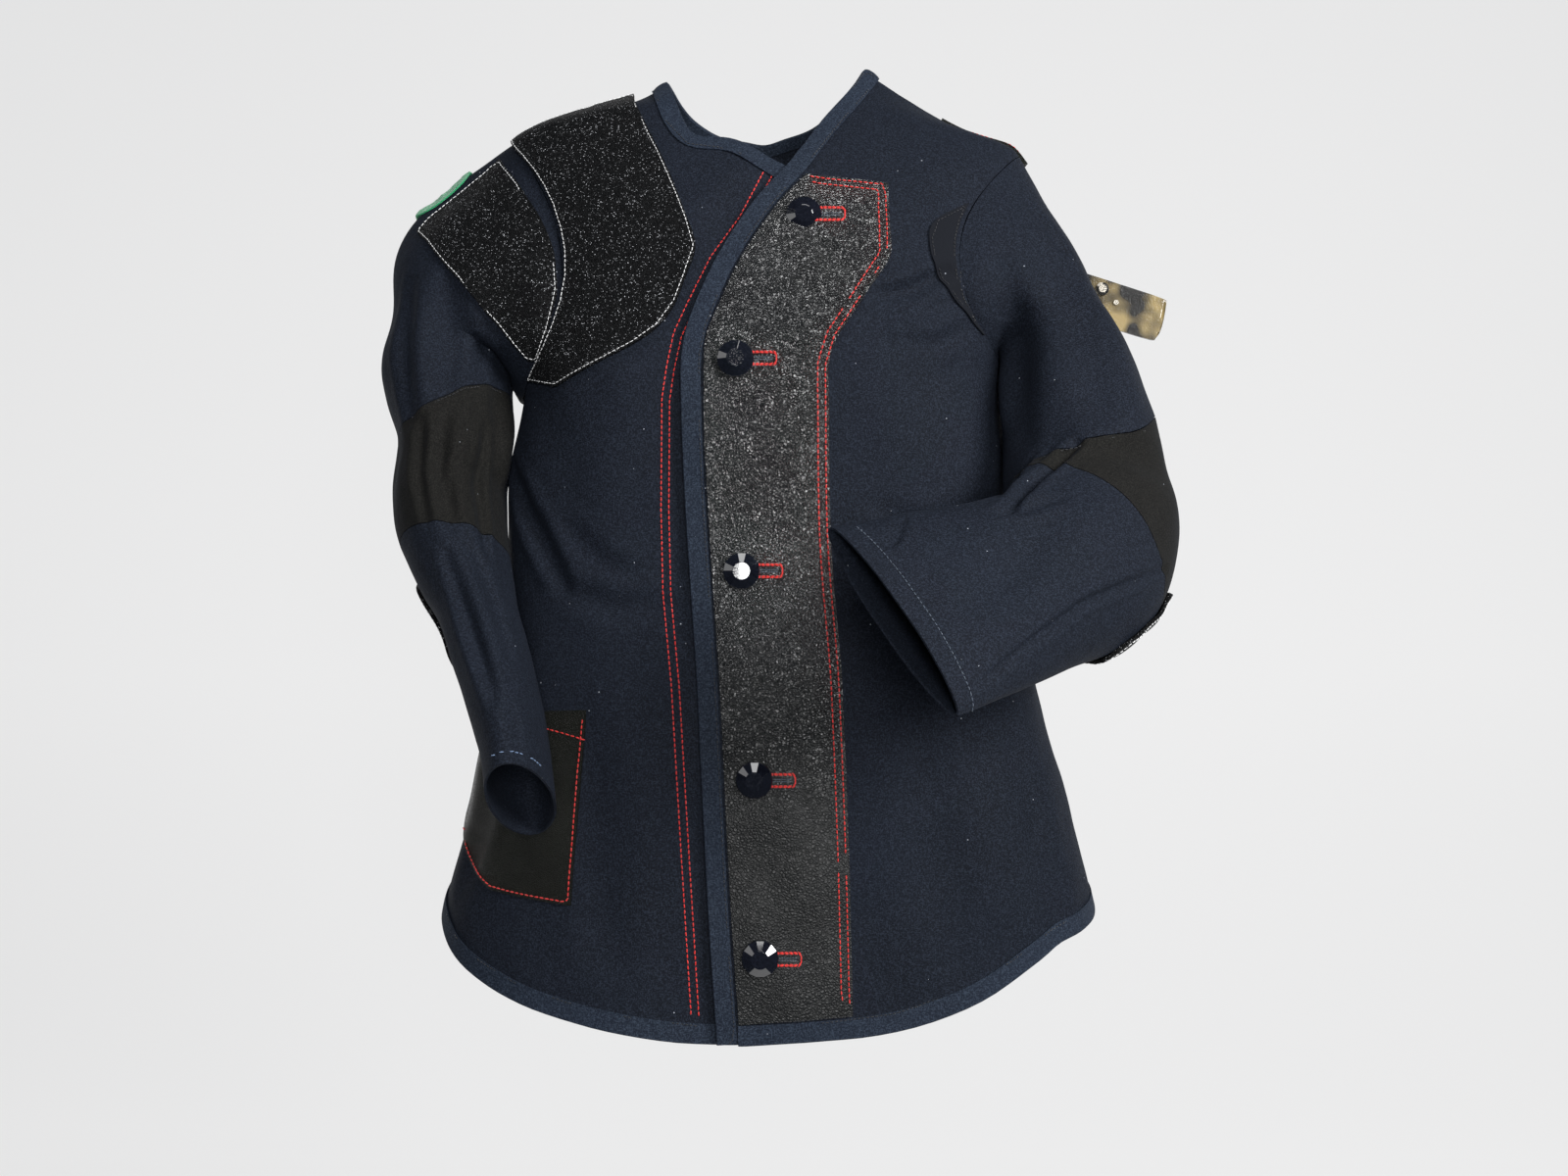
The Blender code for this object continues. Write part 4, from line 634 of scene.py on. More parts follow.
def rim_part(places, hints):
    """The part of a closed rim from the first hint to the last, by way of the middle one."""
    first, middle, last = (int(np.argmin(np.linalg.norm(places - hint, axis=1))) for hint in hints)
    count = len(places)
    if (middle - first) % count <= (last - first) % count:
        return [(first + step) % count for step in range((last - first) % count + 1)]
    return [(first - step) % count for step in range((first - last) % count + 1)]


def near_sight(loops, side, across, height):
    """The rim place nearest to a line of sight."""
    start, way = sight(side, across * MM, height * MM)
    places = np.vstack([loop[0] for loop in loops])
    offset = places - start
    distance = np.linalg.norm(offset - (offset @ way)[:, None] * way, axis=1)
    return places[int(np.argmin(distance))]


def rim_row(node, wrap, side, hints, inset):
    """A sewing line at a distance inside a piece's rim."""
    loops = rim_loops(node, wrap)
    if hints is None:
        rim, inward = max(loops, key=lambda loop: len(loop[0]))
        order = [*range(len(rim)), 0]
    else:
        spots = [near_sight(loops, side, x, z) for x, z in hints]
        rim, inward = min(loops, key=lambda loop: np.linalg.norm(loop[0] - spots[1], axis=1).min())
        order = rim_part(rim, spots)
    line, ways = along(rim[order], ROW_STEP, inward[order])
    row = np.array([trees[node].find_nearest(place)[0][:] for place in line + inset * unit(ways)])
    whole = np.vstack([rim, rim[:1]])
    _, distance, _ = nearest_on_line(row, whole + cloth_shift(whole, wrap))
    return row[distance > ROW_KEEP * inset]


def front_row(node, line):
    """A sewing line seen from the front, laid on a piece."""
    hits = [trees[node].ray_cast(*sight("front", x, z))[0] for x, z in along(np.array(line) * MM, ROW_STEP)]
    return np.array([hit[:] for hit in hits if hit is not None])


def lifted(row, node, lift):
    """A sewing line raised a little off its piece."""
    spots = [trees[node].find_nearest(place) for place in row]
    return np.array([np.array(spot) + lift * np.array(normal) for spot, normal, _, _ in spots])


def stitch_tree():
    """Geometry nodes that lay stitches along curves."""
    tree = bpy.data.node_groups.new(STITCH_TREE, "GeometryNodeTree")
    sockets = (("Row", "Geometry"), ("Stitch", "Float"), ("Gap", "Float"), ("Thread", "Float"),
               ("Lean", "Float"), ("Seed", "Int"), ("Finish", "Material"))
    for name, kind in sockets:
        tree.interface.new_socket(name=name, in_out="INPUT", socket_type="NodeSocket" + kind)
    tree.interface.new_socket(name="Stitches", in_out="OUTPUT", socket_type="NodeSocketGeometry")
    build = Tree(tree)
    given = build.node("NodeGroupInput").outputs
    pitch = build.math("ADD", given["Stitch"], given["Gap"])
    spaced = build.out("GeometryNodeResampleCurve", {"Curve": given["Row"], "Length": pitch}, mode="LENGTH")
    bead = build.out("GeometryNodeMeshUVSphere", {"Segments": 6, "Rings": 5, "Radius": 1.0})
    half = build.times(given["Stitch"], STITCH_HALF)
    size = build.triple(given["Thread"], given["Thread"], half)
    tangent = build.out("GeometryNodeInputTangent")
    chance = build.out("FunctionNodeRandomValue", {
        0: (-1.0, -1.0, -1.0), 1: (1.0, 1.0, 1.0), "Seed": given["Seed"]}, data_type="FLOAT_VECTOR")
    way = build.vector("ADD", tangent, build.vector("SCALE", chance, given["Lean"]))
    turn = build.out("FunctionNodeAlignRotationToVector", {"Vector": way}, axis="Z")
    laid = build.out("GeometryNodeInstanceOnPoints", {
        "Points": spaced, "Instance": bead, "Rotation": turn, "Scale": size})
    real = build.out("GeometryNodeRealizeInstances", {"Geometry": laid})
    soft = build.out("GeometryNodeSetShadeSmooth", {"Geometry": real})
    finish = build.out("GeometryNodeSetMaterial", {"Geometry": soft, "Material": given["Finish"]})
    build.node("NodeGroupOutput", {"Stitches": finish})
    return tree


def socket_of(tree, name):
    """The identifier of a tree's input."""
    for item in tree.interface.items_tree:
        if item.item_type == "SOCKET" and item.in_out == "INPUT" and item.name == name:
            return item.identifier
    raise RuntimeError(f"the stitch tree has no input {name}")


def sew(name, rows, thread, length=1.0, gap=1.0):
    """One mesh of the stitches of several rows."""
    sewing = bpy.context.scene.jacket_sewing
    _, length_share, radius_share = THREADS[thread]
    tree = bpy.data.node_groups.get(STITCH_TREE) or stitch_tree()
    curve = bpy.data.curves.new(name + "_rows", "CURVE")
    curve.dimensions = "3D"
    for row in rows:
        if len(row) < 2:
            continue
        spline = curve.splines.new("POLY")
        spline.points.add(len(row) - 1)
        spline.points.foreach_set("co", np.hstack([row, np.ones((len(row), 1))]).ravel())
    holder = shown(name + "_rows", curve)
    modifier = holder.modifiers.new("Stitches", "NODES")
    modifier.node_group = tree
    values = {
        "Stitch": sewing.stitch * length_share * length,
        "Gap": sewing.gap * gap,
        "Thread": sewing.thread * radius_share,
        "Lean": STITCH_LEAN,
        "Seed": sewing.seed,
        "Finish": finish_material("thread_" + thread),
    }
    for socket, value in values.items():
        modifier[socket_of(tree, socket)] = value
    stitches = evaluated(holder)
    bpy.data.objects.remove(holder)
    bpy.data.curves.remove(curve)
    if not len(stitches.vertices):
        raise RuntimeError(f"{name} has no stitches: rows {[len(row) for row in rows]}")
    piece = shown(name, stitches)
    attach(piece, BODY)


# Materials.


class Tree:
    """Short calls for building a node tree."""

    def __init__(self, tree):
        self.tree = tree

    def join(self, value, socket):
        """Links or writes a value into a socket."""
        if isinstance(value, bpy.types.NodeSocket):
            self.tree.links.new(value, socket)
        else:
            socket.default_value = value

    def node(self, kind, values=(), **settings):
        """A node with its settings, and values or links for its inputs."""
        made = self.tree.nodes.new(kind)
        for key, value in settings.items():
            setattr(made, key, value)
        for key, value in dict(values).items():
            self.join(value, made.inputs[key])
        return made

    def out(self, kind, values=(), **settings):
        """The first result of a new node."""
        return self.node(kind, values, **settings).outputs[0]

    def math(self, operation, first, second):
        """The result of one sum."""
        return self.out("ShaderNodeMath", {0: first, 1: second}, operation=operation)

    def times(self, first, second):
        """The product of two values."""
        return self.math("MULTIPLY", first, second)

    def vector(self, operation, first, second):
        """The result of one sum of places or ways."""
        key = "Scale" if operation == "SCALE" else 1
        return self.out("ShaderNodeVectorMath", {0: first, key: second}, operation=operation)

    def triple(self, x, y, z):
        """Three values as one way."""
        return self.out("ShaderNodeCombineXYZ", {0: x, 1: y, 2: z})

    def noise(self, places, scale, detail=2.0, rough=0.5):
        """Cloudy noise."""
        values = {"Vector": places, "Scale": scale, "Detail": detail, "Roughness": rough}
        return self.out("ShaderNodeTexNoise", values)

    def ramp(self, value, low, high, first=0.0, last=1.0):
        """A value moved from one range to another, held at its ends."""
        values = {"Value": value, "From Min": low, "From Max": high, "To Min": first, "To Max": last}
        return self.out("ShaderNodeMapRange", values)

    def cells(self, places, scale):
        """Cells with a distance from each middle, and two chance numbers for each cell."""
        made = self.node("ShaderNodeTexVoronoi", {"Vector": places, "Scale": scale})
        parts = self.node("ShaderNodeSeparateColor", {0: made.outputs["Color"]})
        return made.outputs["Distance"], parts.outputs[0], parts.outputs[1]

    def blend(self, share, first, second):
        """Two colours mixed by a share."""
        mix = self.node("ShaderNodeMix", data_type="RGBA")
        for index, value in ((0, share), (6, first), (7, second)):
            self.join((*value, 1.0) if isinstance(value, tuple) else value, mix.inputs[index])
        return mix.outputs[2]

    def tones(self, share, shade, low, high):
        """A shade darkened and lightened by two shares, mixed by a value."""
        first, second = (tuple(min(1.0, part * c) for c in shade) for part in (low, high))
        return self.blend(share, first, second)


def new_group(name, inputs, outputs):
    """An empty shader group with a place input, number inputs and number outputs."""
    group = bpy.data.node_groups.new(name, "ShaderNodeTree")
    group.interface.new_socket(name="Place", in_out="INPUT", socket_type="NodeSocketVector")
    for socket, value in inputs:
        made = group.interface.new_socket(name=socket, in_out="INPUT", socket_type="NodeSocketFloat")
        made.default_value = value
    for socket in outputs:
        group.interface.new_socket(name=socket, in_out="OUTPUT", socket_type="NodeSocketFloat")
    build = Tree(group)
    given = build.node("NodeGroupInput").outputs
    return build, given, given["Place"]


def weave_group():
    """Crossing threads: Height, and a mask of the raised thread tops for a painted highlight."""
    build, given, place = new_group("Crossing threads", (("Rate", 1500.0), ("Slub", 0.42)), ("Height", "Tops"))
    slub = given["Slub"]
    warp, weft = [build.noise(build.vector("MULTIPLY", place, build.triple(*way)), given["Rate"], 1.0)
                  for way in ((1.0, 1.0, slub), (slub, slub, 1.0))]
    height = build.math("MAXIMUM", warp, weft)
    build.node("NodeGroupOutput", {"Height": height, "Tops": build.ramp(height, 0.50, 0.72)})
    return build.tree


def cloud_group():
    """Slow change over a piece: Fade, and Lint for rare specks."""
    build, given, place = new_group("Fade and lint", (("Rate", 7.0), ("Lint rate", 260.0)), ("Fade", "Lint"))
    fade = build.ramp(build.noise(place, given["Rate"], 5.0, 0.62), 0.32, 0.70)
    distance, chance, _ = build.cells(place, given["Lint rate"])
    lint = build.times(build.math("LESS_THAN", distance, 0.13), build.math("GREATER_THAN", chance, 0.988))
    build.node("NodeGroupOutput", {"Fade": fade, "Lint": lint})
    return build.tree


def hide_group():
    """Pebbled hide: Height, and a mask of the grooves between the pebbles for painted shade."""
    rates = (("Rate", 420.0), ("Fine rate", 1900.0))
    build, given, place = new_group("Pebbled hide", rates, ("Height", "Furrow"))
    values = {"Vector": place, "Scale": given["Rate"]}
    stir = build.node("ShaderNodeTexNoise", values).outputs["Color"]
    values["Vector"] = build.vector("ADD", place, build.vector("SCALE", stir, 0.0011))
    cells = build.out("ShaderNodeTexVoronoi", values, feature="DISTANCE_TO_EDGE")
    pebble = build.times(build.ramp(cells, 0.0, 0.34), 0.8)
    fine = build.times(build.noise(place, given["Fine rate"], 3.0), 0.25)
    furrow_shade = build.ramp(cells, 0.0, 0.12, 1.0, 0.0)
    build.node("NodeGroupOutput", {"Height": build.math("ADD", pebble, fine), "Furrow": furrow_shade})
    return build.tree


def grit_group():
    """Crumbled rubber: Height, and Glint for the crumbs that catch light."""
    build, given, place = new_group("Crumbled rubber", (("Rate", 1000.0), ("Share", 0.70)), ("Height", "Glint"))
    distance, chance, lift = build.cells(place, given["Rate"])
    crumb = build.ramp(distance, 0.0, 0.62, 1.0, 0.0)
    height = build.times(crumb, build.ramp(lift, 0.0, 1.0, 0.35, 1.0))
    bright = build.math("POWER", build.ramp(chance, given["Share"], 1.0), 2.4)
    near = build.ramp(distance, 0.26, 0.46, 1.0, 0.0)
    patch = build.ramp(build.noise(place, 90.0, 3.0), 0.36, 0.60, 0.35, 1.0)
    build.node("NodeGroupOutput", {"Height": height, "Glint": build.times(build.times(bright, near), patch)})
    return build.tree


GROUPS = {
    "Crossing threads": weave_group,
    "Fade and lint": cloud_group,
    "Pebbled hide": hide_group,
    "Crumbled rubber": grit_group,
}


class Finish(Tree):
    """One material with its shader, object places and groups."""

    def __init__(self, name, rough, metal=0.0, **constants):
        self.material = bpy.data.materials.new(name)
        self.material.use_nodes = True
        super().__init__(self.material.node_tree)
        self.tree.nodes.clear()
        self.place = self.node("ShaderNodeTexCoord").outputs["Object"]
        self.shader = self.node("ShaderNodeBsdfPrincipled", {"Roughness": rough, "Metallic": metal})
        for key, value in constants.items():
            self.shader.inputs[key.replace("_", " ")].default_value = value
        self.node("ShaderNodeOutputMaterial", {"Surface": self.shader.outputs[0]})

    def group(self, name, **values):
        """One shared group with this finish's own values."""
        group = bpy.data.node_groups.get(name) or GROUPS[name]()
        made = self.node("ShaderNodeGroup", node_tree=group)
        self.join(self.place, made.inputs["Place"])
        for key, value in values.items():
            made.inputs[key.replace("_", " ")].default_value = value
        return made.outputs

    def feed(self, socket, value):
        """Links a varying value into the shader."""
        self.join(value, self.shader.inputs[socket])

    def bump(self, height, distance, strength=1.0, below=None):
        """A bump from a height."""
        values = {"Height": height, "Distance": distance, "Strength": strength}
        if below is not None:
            values["Normal"] = below
        return self.out("ShaderNodeBump", values)


def shade_of(name):
    """One of the scene's jacket colours by its name."""
    return tuple(getattr(bpy.context.scene.jacket_colours, name))


def cloth_finish(name, shade, tops, rate, rough, sheen, depth):
    """Woven cloth with fading, lint, a painted highlight on the raised thread tops and a soft sheen."""
    made = Finish(name, rough, Sheen_Weight=sheen, Sheen_Roughness=0.45, Specular_IOR_Level=0.09,
                  Sheen_Tint=(0.55, 0.68, 1.0, 1.0))
    threads = made.group("Crossing threads", Rate=rate)
    cloud = made.group("Fade and lint")
    faded = made.tones(cloud["Fade"], shade_of(shade), 0.82, 1.22)
    # Painted highlight: the raised thread tops take the lighter thread colour.
    woven_with_highlight = made.blend(threads["Tops"], faded, shade_of(tops))
    made.feed("Base Color", made.blend(cloud["Lint"], woven_with_highlight, (0.30, 0.32, 0.36)))
    slow = made.bump(made.noise(made.place, 55.0, 4.0, 0.55), 0.0016, 0.5)
    made.feed("Normal", made.bump(threads["Height"], depth, 0.8, slow))
    made.feed("Roughness", made.ramp(cloud["Fade"], 0.0, 1.0, rough - 0.06, rough + 0.06))
    return made.material


def leather_finish(name, shade, rate, rough, depth, sheen, tail):
    """Grained leather with soft creases and painted shade in the grooves between pebbles, its sheen falling off
    near the hem by the share of tail.
    """
    shade = shade_of(shade)
    made = Finish(name, rough, Specular_IOR_Level=0.2 * sheen, Coat_IOR=1.0 + 0.9 * sheen, Coat_Roughness=0.24)
    hide = made.group("Pebbled hide", Rate=rate)
    cloud = made.group("Fade and lint", Rate=11.0, Lint_rate=180.0)
    tone = made.tones(cloud["Fade"], shade, 0.75, 1.45)
    # Painted shade: the grooves between the pebbles darken to under half the leather's colour.
    made.feed("Base Color", made.blend(hide["Furrow"], tone, tuple(0.45 * c for c in shade)))
    low = made.node("ShaderNodeSeparateXYZ", {0: made.place}).outputs[2]
    calm = made.ramp(low, -0.58, -0.46, 1.0 - tail, 1.0)
    slow = made.bump(made.noise(made.place, 38.0, 5.0, 0.6), 0.0024, 0.40)
    grain = made.bump(made.times(hide["Height"], calm), depth, 1.0, slow)
    made.feed("Normal", grain)
    made.feed("Coat Normal", grain)
    made.feed("Coat Weight", made.times(made.times(calm, calm), made.ramp(cloud["Fade"], 0.0, 1.0, 0.7, 1.0)))
    made.feed("Roughness", made.ramp(hide["Height"], 0.2, 1.0, rough + 0.12, rough - 0.03))
    return made.material


def grit_finish(name):
    """Rubber crumbs with glints."""
    made = Finish(name, 0.55, Specular_IOR_Level=0.14)
    crumbs = made.group("Crumbled rubber")
    made.feed("Base Color", made.blend(crumbs["Glint"], shade_of("grit"), shade_of("speck")))
    made.feed("Roughness", made.ramp(crumbs["Glint"], 0.0, 0.4, 0.60, 0.25))
    made.feed("Normal", made.bump(crumbs["Height"], 0.0016, 1.0))
    return made.material


def thread_finish(name, shade):
    """Twisted sewing thread."""
    made = Finish(name, 0.55, Specular_IOR_Level=0.35, Sheen_Weight=0.2)
    twist = made.noise(made.place, 1600.0, 2.0)
    made.feed("Base Color", made.tones(made.ramp(twist, 0.35, 0.65), shade, 0.62, 1.25))
    made.feed("Normal", made.bump(twist, 0.0003, 0.8))
    return made.material


def gloss_finish(name):
    """Polished black with faint scratches."""
    made = Finish(name, 0.05, Specular_IOR_Level=0.9, Coat_Weight=0.7, Coat_Roughness=0.03)
    marks = made.noise(made.vector("MULTIPLY", made.place, (1.0, 0.2, 1.0)), 900.0, 4.0)
    made.feed("Base Color", made.tones(made.ramp(marks, 0.4, 0.8), shade_of("button"), 1.0, 3.0))
    made.feed("Roughness", made.ramp(marks, 0.35, 0.75, 0.03, 0.12))
    return made.material


def badge_finish(name):
    """Satin stitched green cloth of the plain badge."""
    made = Finish(name, 0.5, Sheen_Weight=0.3)
    values = {"Vector": made.place, "Scale": 520.0, "Distortion": 0.4}
    ribs = made.node("ShaderNodeTexWave", values, bands_direction="Z").outputs["Fac"]
    made.feed("Base Color", made.tones(ribs, shade_of("badge"), 0.7, 1.5))
    made.feed("Normal", made.bump(ribs, 0.0004, 0.8))
    return made.material


def strap_finish(name):
    """Gloss patent leather with a brassy cast and a faint grain."""
    made = Finish(name, 0.20, Specular_IOR_Level=0.5, Coat_Weight=0.3, Coat_Roughness=0.10)
    cloud = made.ramp(made.noise(made.place, 30.0, 2.0, 0.5), 0.48, 0.64)
    made.feed("Base Color", made.blend(cloud, (0.004, 0.0035, 0.003), (0.280, 0.210, 0.090)))
    made.feed("Normal", made.bump(made.noise(made.place, 700.0, 3.0), 0.0003, 0.5))
    return made.material


def steel_finish(name):
    """Bright metal with fine rubbing."""
    made = Finish(name, 0.22, 1.0)
    rub = made.noise(made.place, 1300.0, 3.0)
    made.feed("Base Color", made.tones(rub, shade_of("steel"), 0.7, 1.0))
    made.feed("Roughness", made.ramp(rub, 0.3, 0.7, 0.14, 0.34))
    return made.material


# Finishes: how each is made, then what that takes.
FINISHES = {
    "navy_canvas": (cloth_finish, "canvas", "canvas_lit", 1250.0, 0.78, 0.010, 0.00050),
    "navy_binding": (cloth_finish, "binding", "binding_lit", 1250.0, 0.76, 0.016, 0.00045),
    "elbow_cloth": (cloth_finish, "elbow", "elbow_lit", 2100.0, 0.86, 0.015, 0.00020),
    "dark_suede": (cloth_finish, "suede", "suede", 2400.0, 0.90, 0.03, 0.00030),
    "black_leather": (leather_finish, "leather", 430.0, 0.40, 0.00110, 1.00, 0.75),
    "pocket_leather": (leather_finish, "pocket", 820.0, 0.62, 0.00040, 0.20, 0.0),
    "rubber_grit": (grit_finish,),
    "gloss_button": (gloss_finish,),
    "badge_green": (badge_finish,),
    "strap_leather": (strap_finish,),
    "steel": (steel_finish,),
}
made_finishes = {}


def finish_material(name):
    """The material of a finish, made when it is first asked for."""
    if name not in made_finishes:
        if name.startswith("thread_"):
            made_finishes[name] = thread_finish(name, THREADS[name.removeprefix("thread_")][0])
        else:
            builder, *values = FINISHES[name]
            made_finishes[name] = builder(name + "_worn", *values)
    return made_finishes[name]


# Operators.


class PieceStep:
    """Lays the pieces of one table over their solids."""

    def execute(self, context):
        for row in self.rows:
            make_piece(row)
        return {"FINISHED"}


class MakeCanvas(PieceStep, bpy.types.Operator):
    """Lay the creased canvas panels, sleeves and elbow bands over their solids."""

    bl_idname = "jacket.canvas"
    bl_label = "Canvas panels"
    rows = CANVAS_PIECES


class MakeBindings(PieceStep, bpy.types.Operator):
    """Lay the folded tape round the neck, the front edge and the hem."""

    bl_idname = "jacket.bindings"
    bl_label = "Bindings"
    rows = BINDING_PIECES


class MakeLaidPieces(PieceStep, bpy.types.Operator):
    """Lay the leather, grit pads, gusset, badge and strap."""

    bl_idname = "jacket.laid_pieces"
    bl_label = "Leather and pads"
    rows = LAID_PIECES


def button_mesh(name, centre):
    """A button with flat facets round a flat top, facing the front."""
    made = bmesh.new()
    rings = []
    for radius, rise in BUTTON_PROFILE:
        ring = []
        for step in range(BUTTON_FACETS):
            angle = 2.0 * math.pi * step / BUTTON_FACETS
            way = Vector((radius * math.cos(angle), -rise, radius * math.sin(angle)))
            ring.append(made.verts.new(centre + way))
        rings.append(ring)
    for low, high in zip(rings, rings[1:]):
        for step in range(BUTTON_FACETS):
            after = (step + 1) % BUTTON_FACETS
            made.faces.new((low[step], low[after], high[after], high[step]))
    made.faces.new(rings[-1])
    made.faces.new(rings[0][::-1])
    bmesh.ops.recalc_face_normals(made, faces=made.faces[:])
    sharp = [edge for edge in made.edges if edge.calc_face_angle(0.0) > BUTTON_BEND]
    bmesh.ops.bevel(made, geom=sharp, offset=BUTTON_BEVEL, segments=1, affect="EDGES")
    mesh = bpy.data.meshes.new(name)
    made.to_mesh(mesh)
    made.free()
    return mesh


class MakeButtons(bpy.types.Operator):
    """Set the faceted buttons on the placket."""

    bl_idname = "jacket.buttons"
    bl_label = "Buttons"

    def execute(self, context):
        for node in BUTTONS:
            low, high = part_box(node)
            centre = (low + high) / 2.0
            centre.y = high.y
            centre = centre + Vector(cloth_shift(np.array([centre[:]]), "body")[0])
            piece = shown(node + "_faceted", button_mesh(node + "_faceted", centre))
            piece.data.materials.append(finish_material("gloss_button"))
            settle(piece, node)
        return {"FINISHED"}


class MakeFittings(bpy.types.Operator):
    """Finish the strap's snaps and eyelets."""

    bl_idname = "jacket.fittings"
    bl_label = "Snaps and eyelets"

    def execute(self, context):
        for name in FITTINGS:
            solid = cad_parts[name]
            solid.data.materials.clear()
            solid.data.materials.append(finish_material("steel"))
        return {"FINISHED"}


class MakeStitches(bpy.types.Operator):
    """Sew the rows along the rims and across the fronts."""

    bl_idname = "jacket.stitches"
    bl_label = "Stitches"

    def execute(self, context):
        lift = ROW_LIFT * context.scene.jacket_sewing.thread
        wraps = {row[0]: row[1] for row in PIECES}
        rows = [(group, node, thread, rim_row(node, wraps[node], side, hints, inset * MM))
                for group, node, thread, insets, side, hints in RIM_ROWS for inset in insets]
        rows += [(group, node, thread, front_row(node, line)) for group, node, thread, line in FRONT_ROWS]
        groups = {}
        for group, node, thread, row in rows:
            groups.setdefault((group, thread), [node, []])[1].append(lifted(row, node, lift))
        for (group, thread), (node, lines) in groups.items():
            sew(f"stitches_{group}_{thread}", lines, thread)
        return {"FINISHED"}


def button_sight(node):
    """A button's middle as seen from the front, in mm on the plane of the chest."""
    low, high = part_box(node)
    eye = Vector(CAMERA_PLACE)
    way = (low + high) / 2.0 - eye
    seen = eye + way * ((CHEST_Y - eye.y) / way.y)
    return seen.x / MM, seen.z / MM


class MakeButtonholes(bpy.types.Operator):
    """Sew the red border round each buttonhole and the two edges of its slit."""

    bl_idname = "jacket.buttonholes"
    bl_label = "Buttonholes"

    def execute(self, context):
        lift = HOLE_LIFT * context.scene.jacket_sewing.thread
        borders = []
        slits = []
        for x, z in [button_sight(node) for node in BUTTONS]:
            near = x + HOLE_START
            reach = x + HOLE_REACH
            far = reach - HOLE_CORNER
            for half in HOLE_HALVES:
                line = ((near, z + half), (far, z + half), (reach, z + half - HOLE_CORNER),
                        (reach, z - half + HOLE_CORNER), (far, z - half), (near, z - half))
                borders.append(lifted(front_row("placket", line), "placket", lift))
            for side in (-SLIT_HALF, SLIT_HALF):
                line = ((x + SLIT_START, z + side), (reach - SLIT_END, z + side))
                slits.append(lifted(front_row("placket", line), "placket", -SLIT_SINK * lift))
        sew("stitches_buttonholes_red", borders, "red", 0.95, 0.35)
        sew("stitches_buttonholes_slit", slits, "pale", 0.7, 0.1)
        return {"FINISHED"}


class StateSheets(bpy.types.Operator):
    """Does nothing; no flat cut of any piece of cloth is stated."""

    bl_idname = "jacket.sheets"
    bl_label = "Flat cuts"

    def execute(self, context):
        return {"FINISHED"}


def backdrop(stage):
    """A floor that bends up into a backdrop."""
    sweep = bmesh.new()
    foot = stage.backdrop - SWEEP_BEND
    profile = [(FLOOR_FRONT, 0.0), (foot, 0.0)]
    for step in range(1, SWEEP_STEPS + 1):
        angle = math.radians(90.0 * step / SWEEP_STEPS)
        profile.append((foot + SWEEP_BEND * math.sin(angle), SWEEP_BEND - SWEEP_BEND * math.cos(angle)))
    profile.append((stage.backdrop, SWEEP_TOP))
    left, right = [[sweep.verts.new((side, y, z - stage.floor_drop)) for y, z in profile]
                   for side in (-SWEEP_HALF, SWEEP_HALF)]
    for index in range(len(profile) - 1):
        face = sweep.faces.new((left[index], right[index], right[index + 1], left[index + 1]))
        face.smooth = True
    mesh = bpy.data.meshes.new("floor_and_backdrop")
    sweep.to_mesh(mesh)
    sweep.free()
    paper = Finish(
        "studio_paper", 0.9, Emission_Strength=stage.paper_glow, Emission_Color=(1.0, 1.0, 1.0, 1.0))
    cloud = paper.noise(paper.place, 1.5, 2.0)
    paper.feed("Base Color", paper.blend(cloud, (0.21, 0.21, 0.21), (0.22, 0.22, 0.22)))
    mesh.materials.append(paper.material)
    return shown("floor_and_backdrop", mesh)


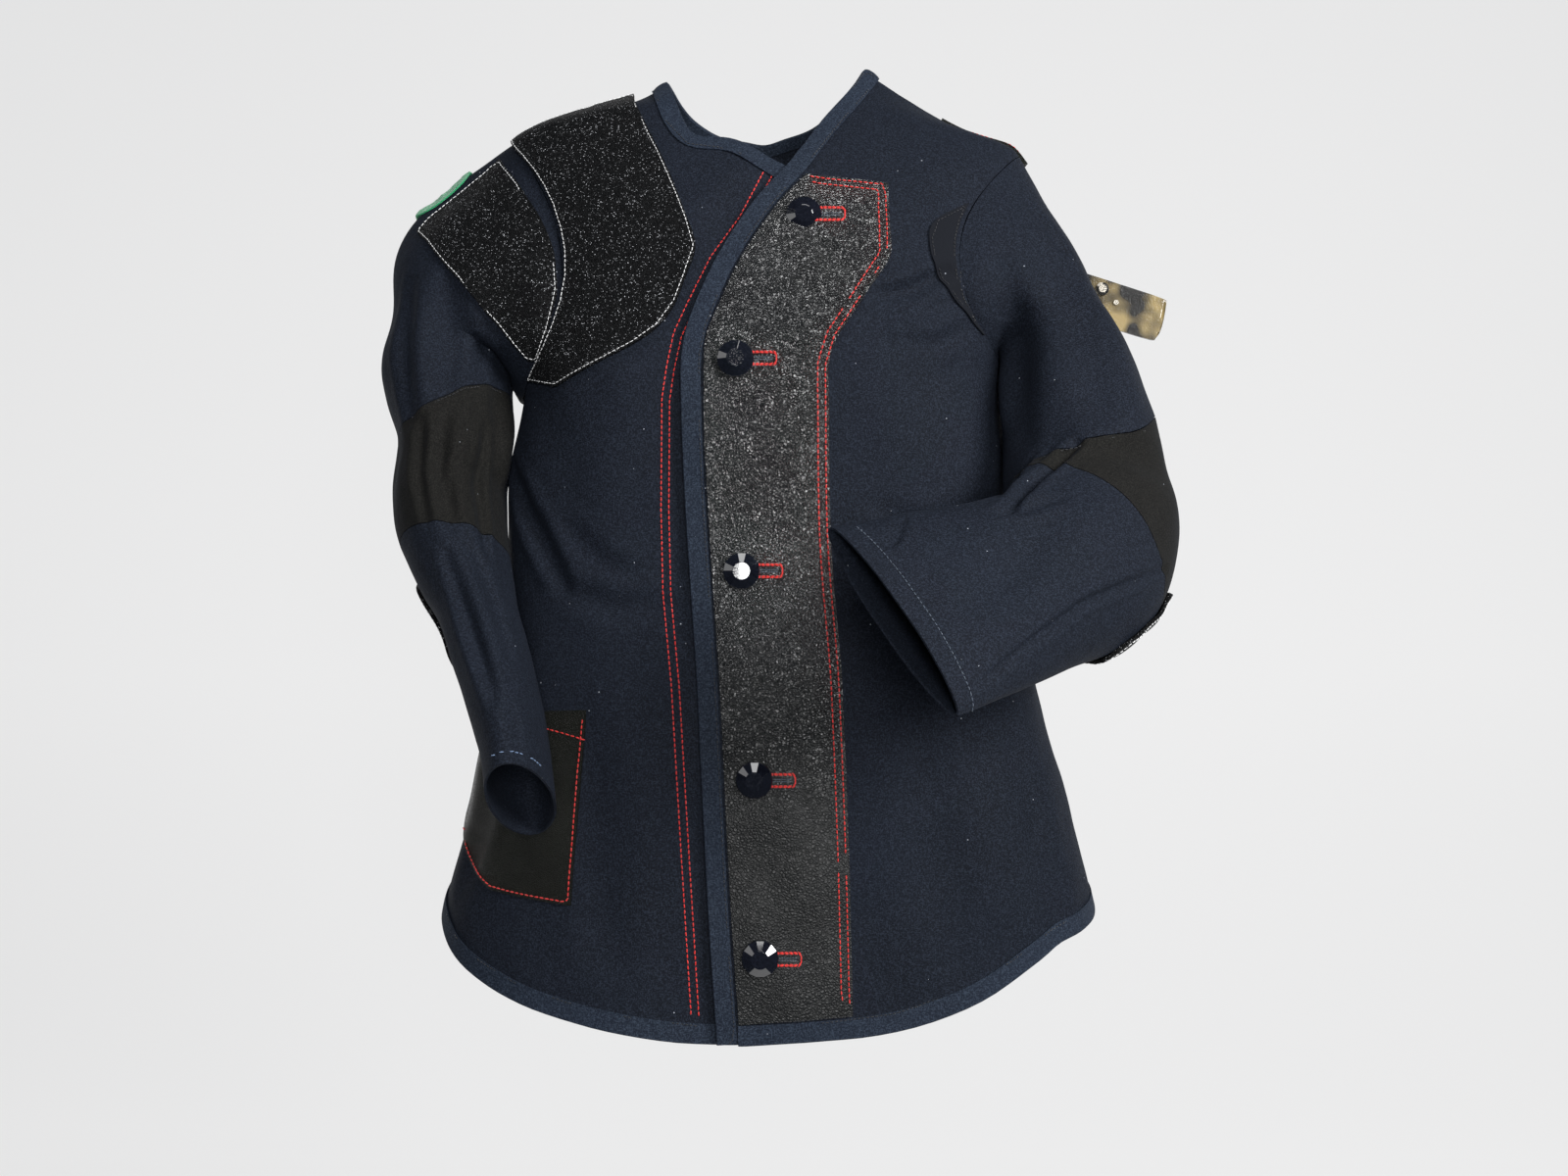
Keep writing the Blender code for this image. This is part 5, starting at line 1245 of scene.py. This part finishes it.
class SetStage(bpy.types.Operator):
    """Set the floor, the backdrop, the lights and the camera."""

    bl_idname = "jacket.stage"
    bl_label = "Stage"

    def execute(self, context):
        stage = context.scene.jacket_stage
        backdrop(stage)
        context.scene.view_settings.view_transform = "Standard"
        world = bpy.data.worlds.new("Studio air")
        context.scene.world = world
        world.use_nodes = True
        background = world.node_tree.nodes["Background"]
        background.inputs["Color"].default_value = (0.62, 0.74, 1.0, 1.0)
        background.inputs["Strength"].default_value = stage.air
        for name, place, aim, size in LIGHTS:
            lamp = bpy.data.lights.new("light_" + name, "AREA")
            lamp.energy = getattr(stage, name)
            lamp.size = size
            light = shown("light_" + name, lamp)
            light.location = place
            light.rotation_euler = (Vector(aim) - Vector(place)).to_track_quat("-Z", "Y").to_euler()
        lens = bpy.data.cameras.new("camera")
        lens.lens = LENS
        lens.sensor_width = SENSOR
        camera = shown("camera", lens)
        camera.location = CAMERA_PLACE
        camera.rotation_euler = (math.radians(90.0), 0.0, 0.0)
        context.scene.camera = camera
        return {"FINISHED"}


class JacketPanel(bpy.types.Panel):
    """Lists the steps that dress the jacket."""

    bl_idname = "VIEW3D_PT_jacket"
    bl_label = "Shooting jacket"
    bl_space_type = "VIEW_3D"
    bl_region_type = "UI"
    bl_category = "Jacket"

    def draw(self, context):
        for name, kind in SETTINGS.items():
            box = self.layout.box()
            for key in kind.__annotations__:
                box.prop(getattr(context.scene, name), key)
        for step in STEPS:
            self.layout.operator(step.bl_idname)


STEPS = (
    MakeCanvas,
    MakeBindings,
    MakeLaidPieces,
    MakeButtons,
    MakeFittings,
    MakeStitches,
    MakeButtonholes,
    StateSheets,
    SetStage,
)
SETTINGS = {"jacket_colours": JacketColours, "jacket_sewing": JacketSewing, "jacket_stage": JacketStage}
CREASE_SETS = {wrap: crease_lines(wrap) for wrap in ("body", "right", "left")}


def register():
    for kind in (*SETTINGS.values(), *STEPS, JacketPanel):
        bpy.utils.register_class(kind)
    for name, kind in SETTINGS.items():
        setattr(bpy.types.Scene, name, bpy.props.PointerProperty(type=kind))


def unregister():
    for name in SETTINGS:
        delattr(bpy.types.Scene, name)
    for kind in (JacketPanel, *STEPS, *SETTINGS.values()):
        bpy.utils.unregister_class(kind)


def main():
    """Dresses the jacket step by step."""
    register()
    bpy.ops.jacket.canvas()
    bpy.ops.jacket.bindings()
    bpy.ops.jacket.laid_pieces()
    bpy.ops.jacket.buttons()
    bpy.ops.jacket.fittings()
    bpy.ops.jacket.stitches()
    bpy.ops.jacket.buttonholes()
    bpy.ops.jacket.sheets()
    bpy.ops.jacket.stage()


if __name__ == "__main__":
    main()
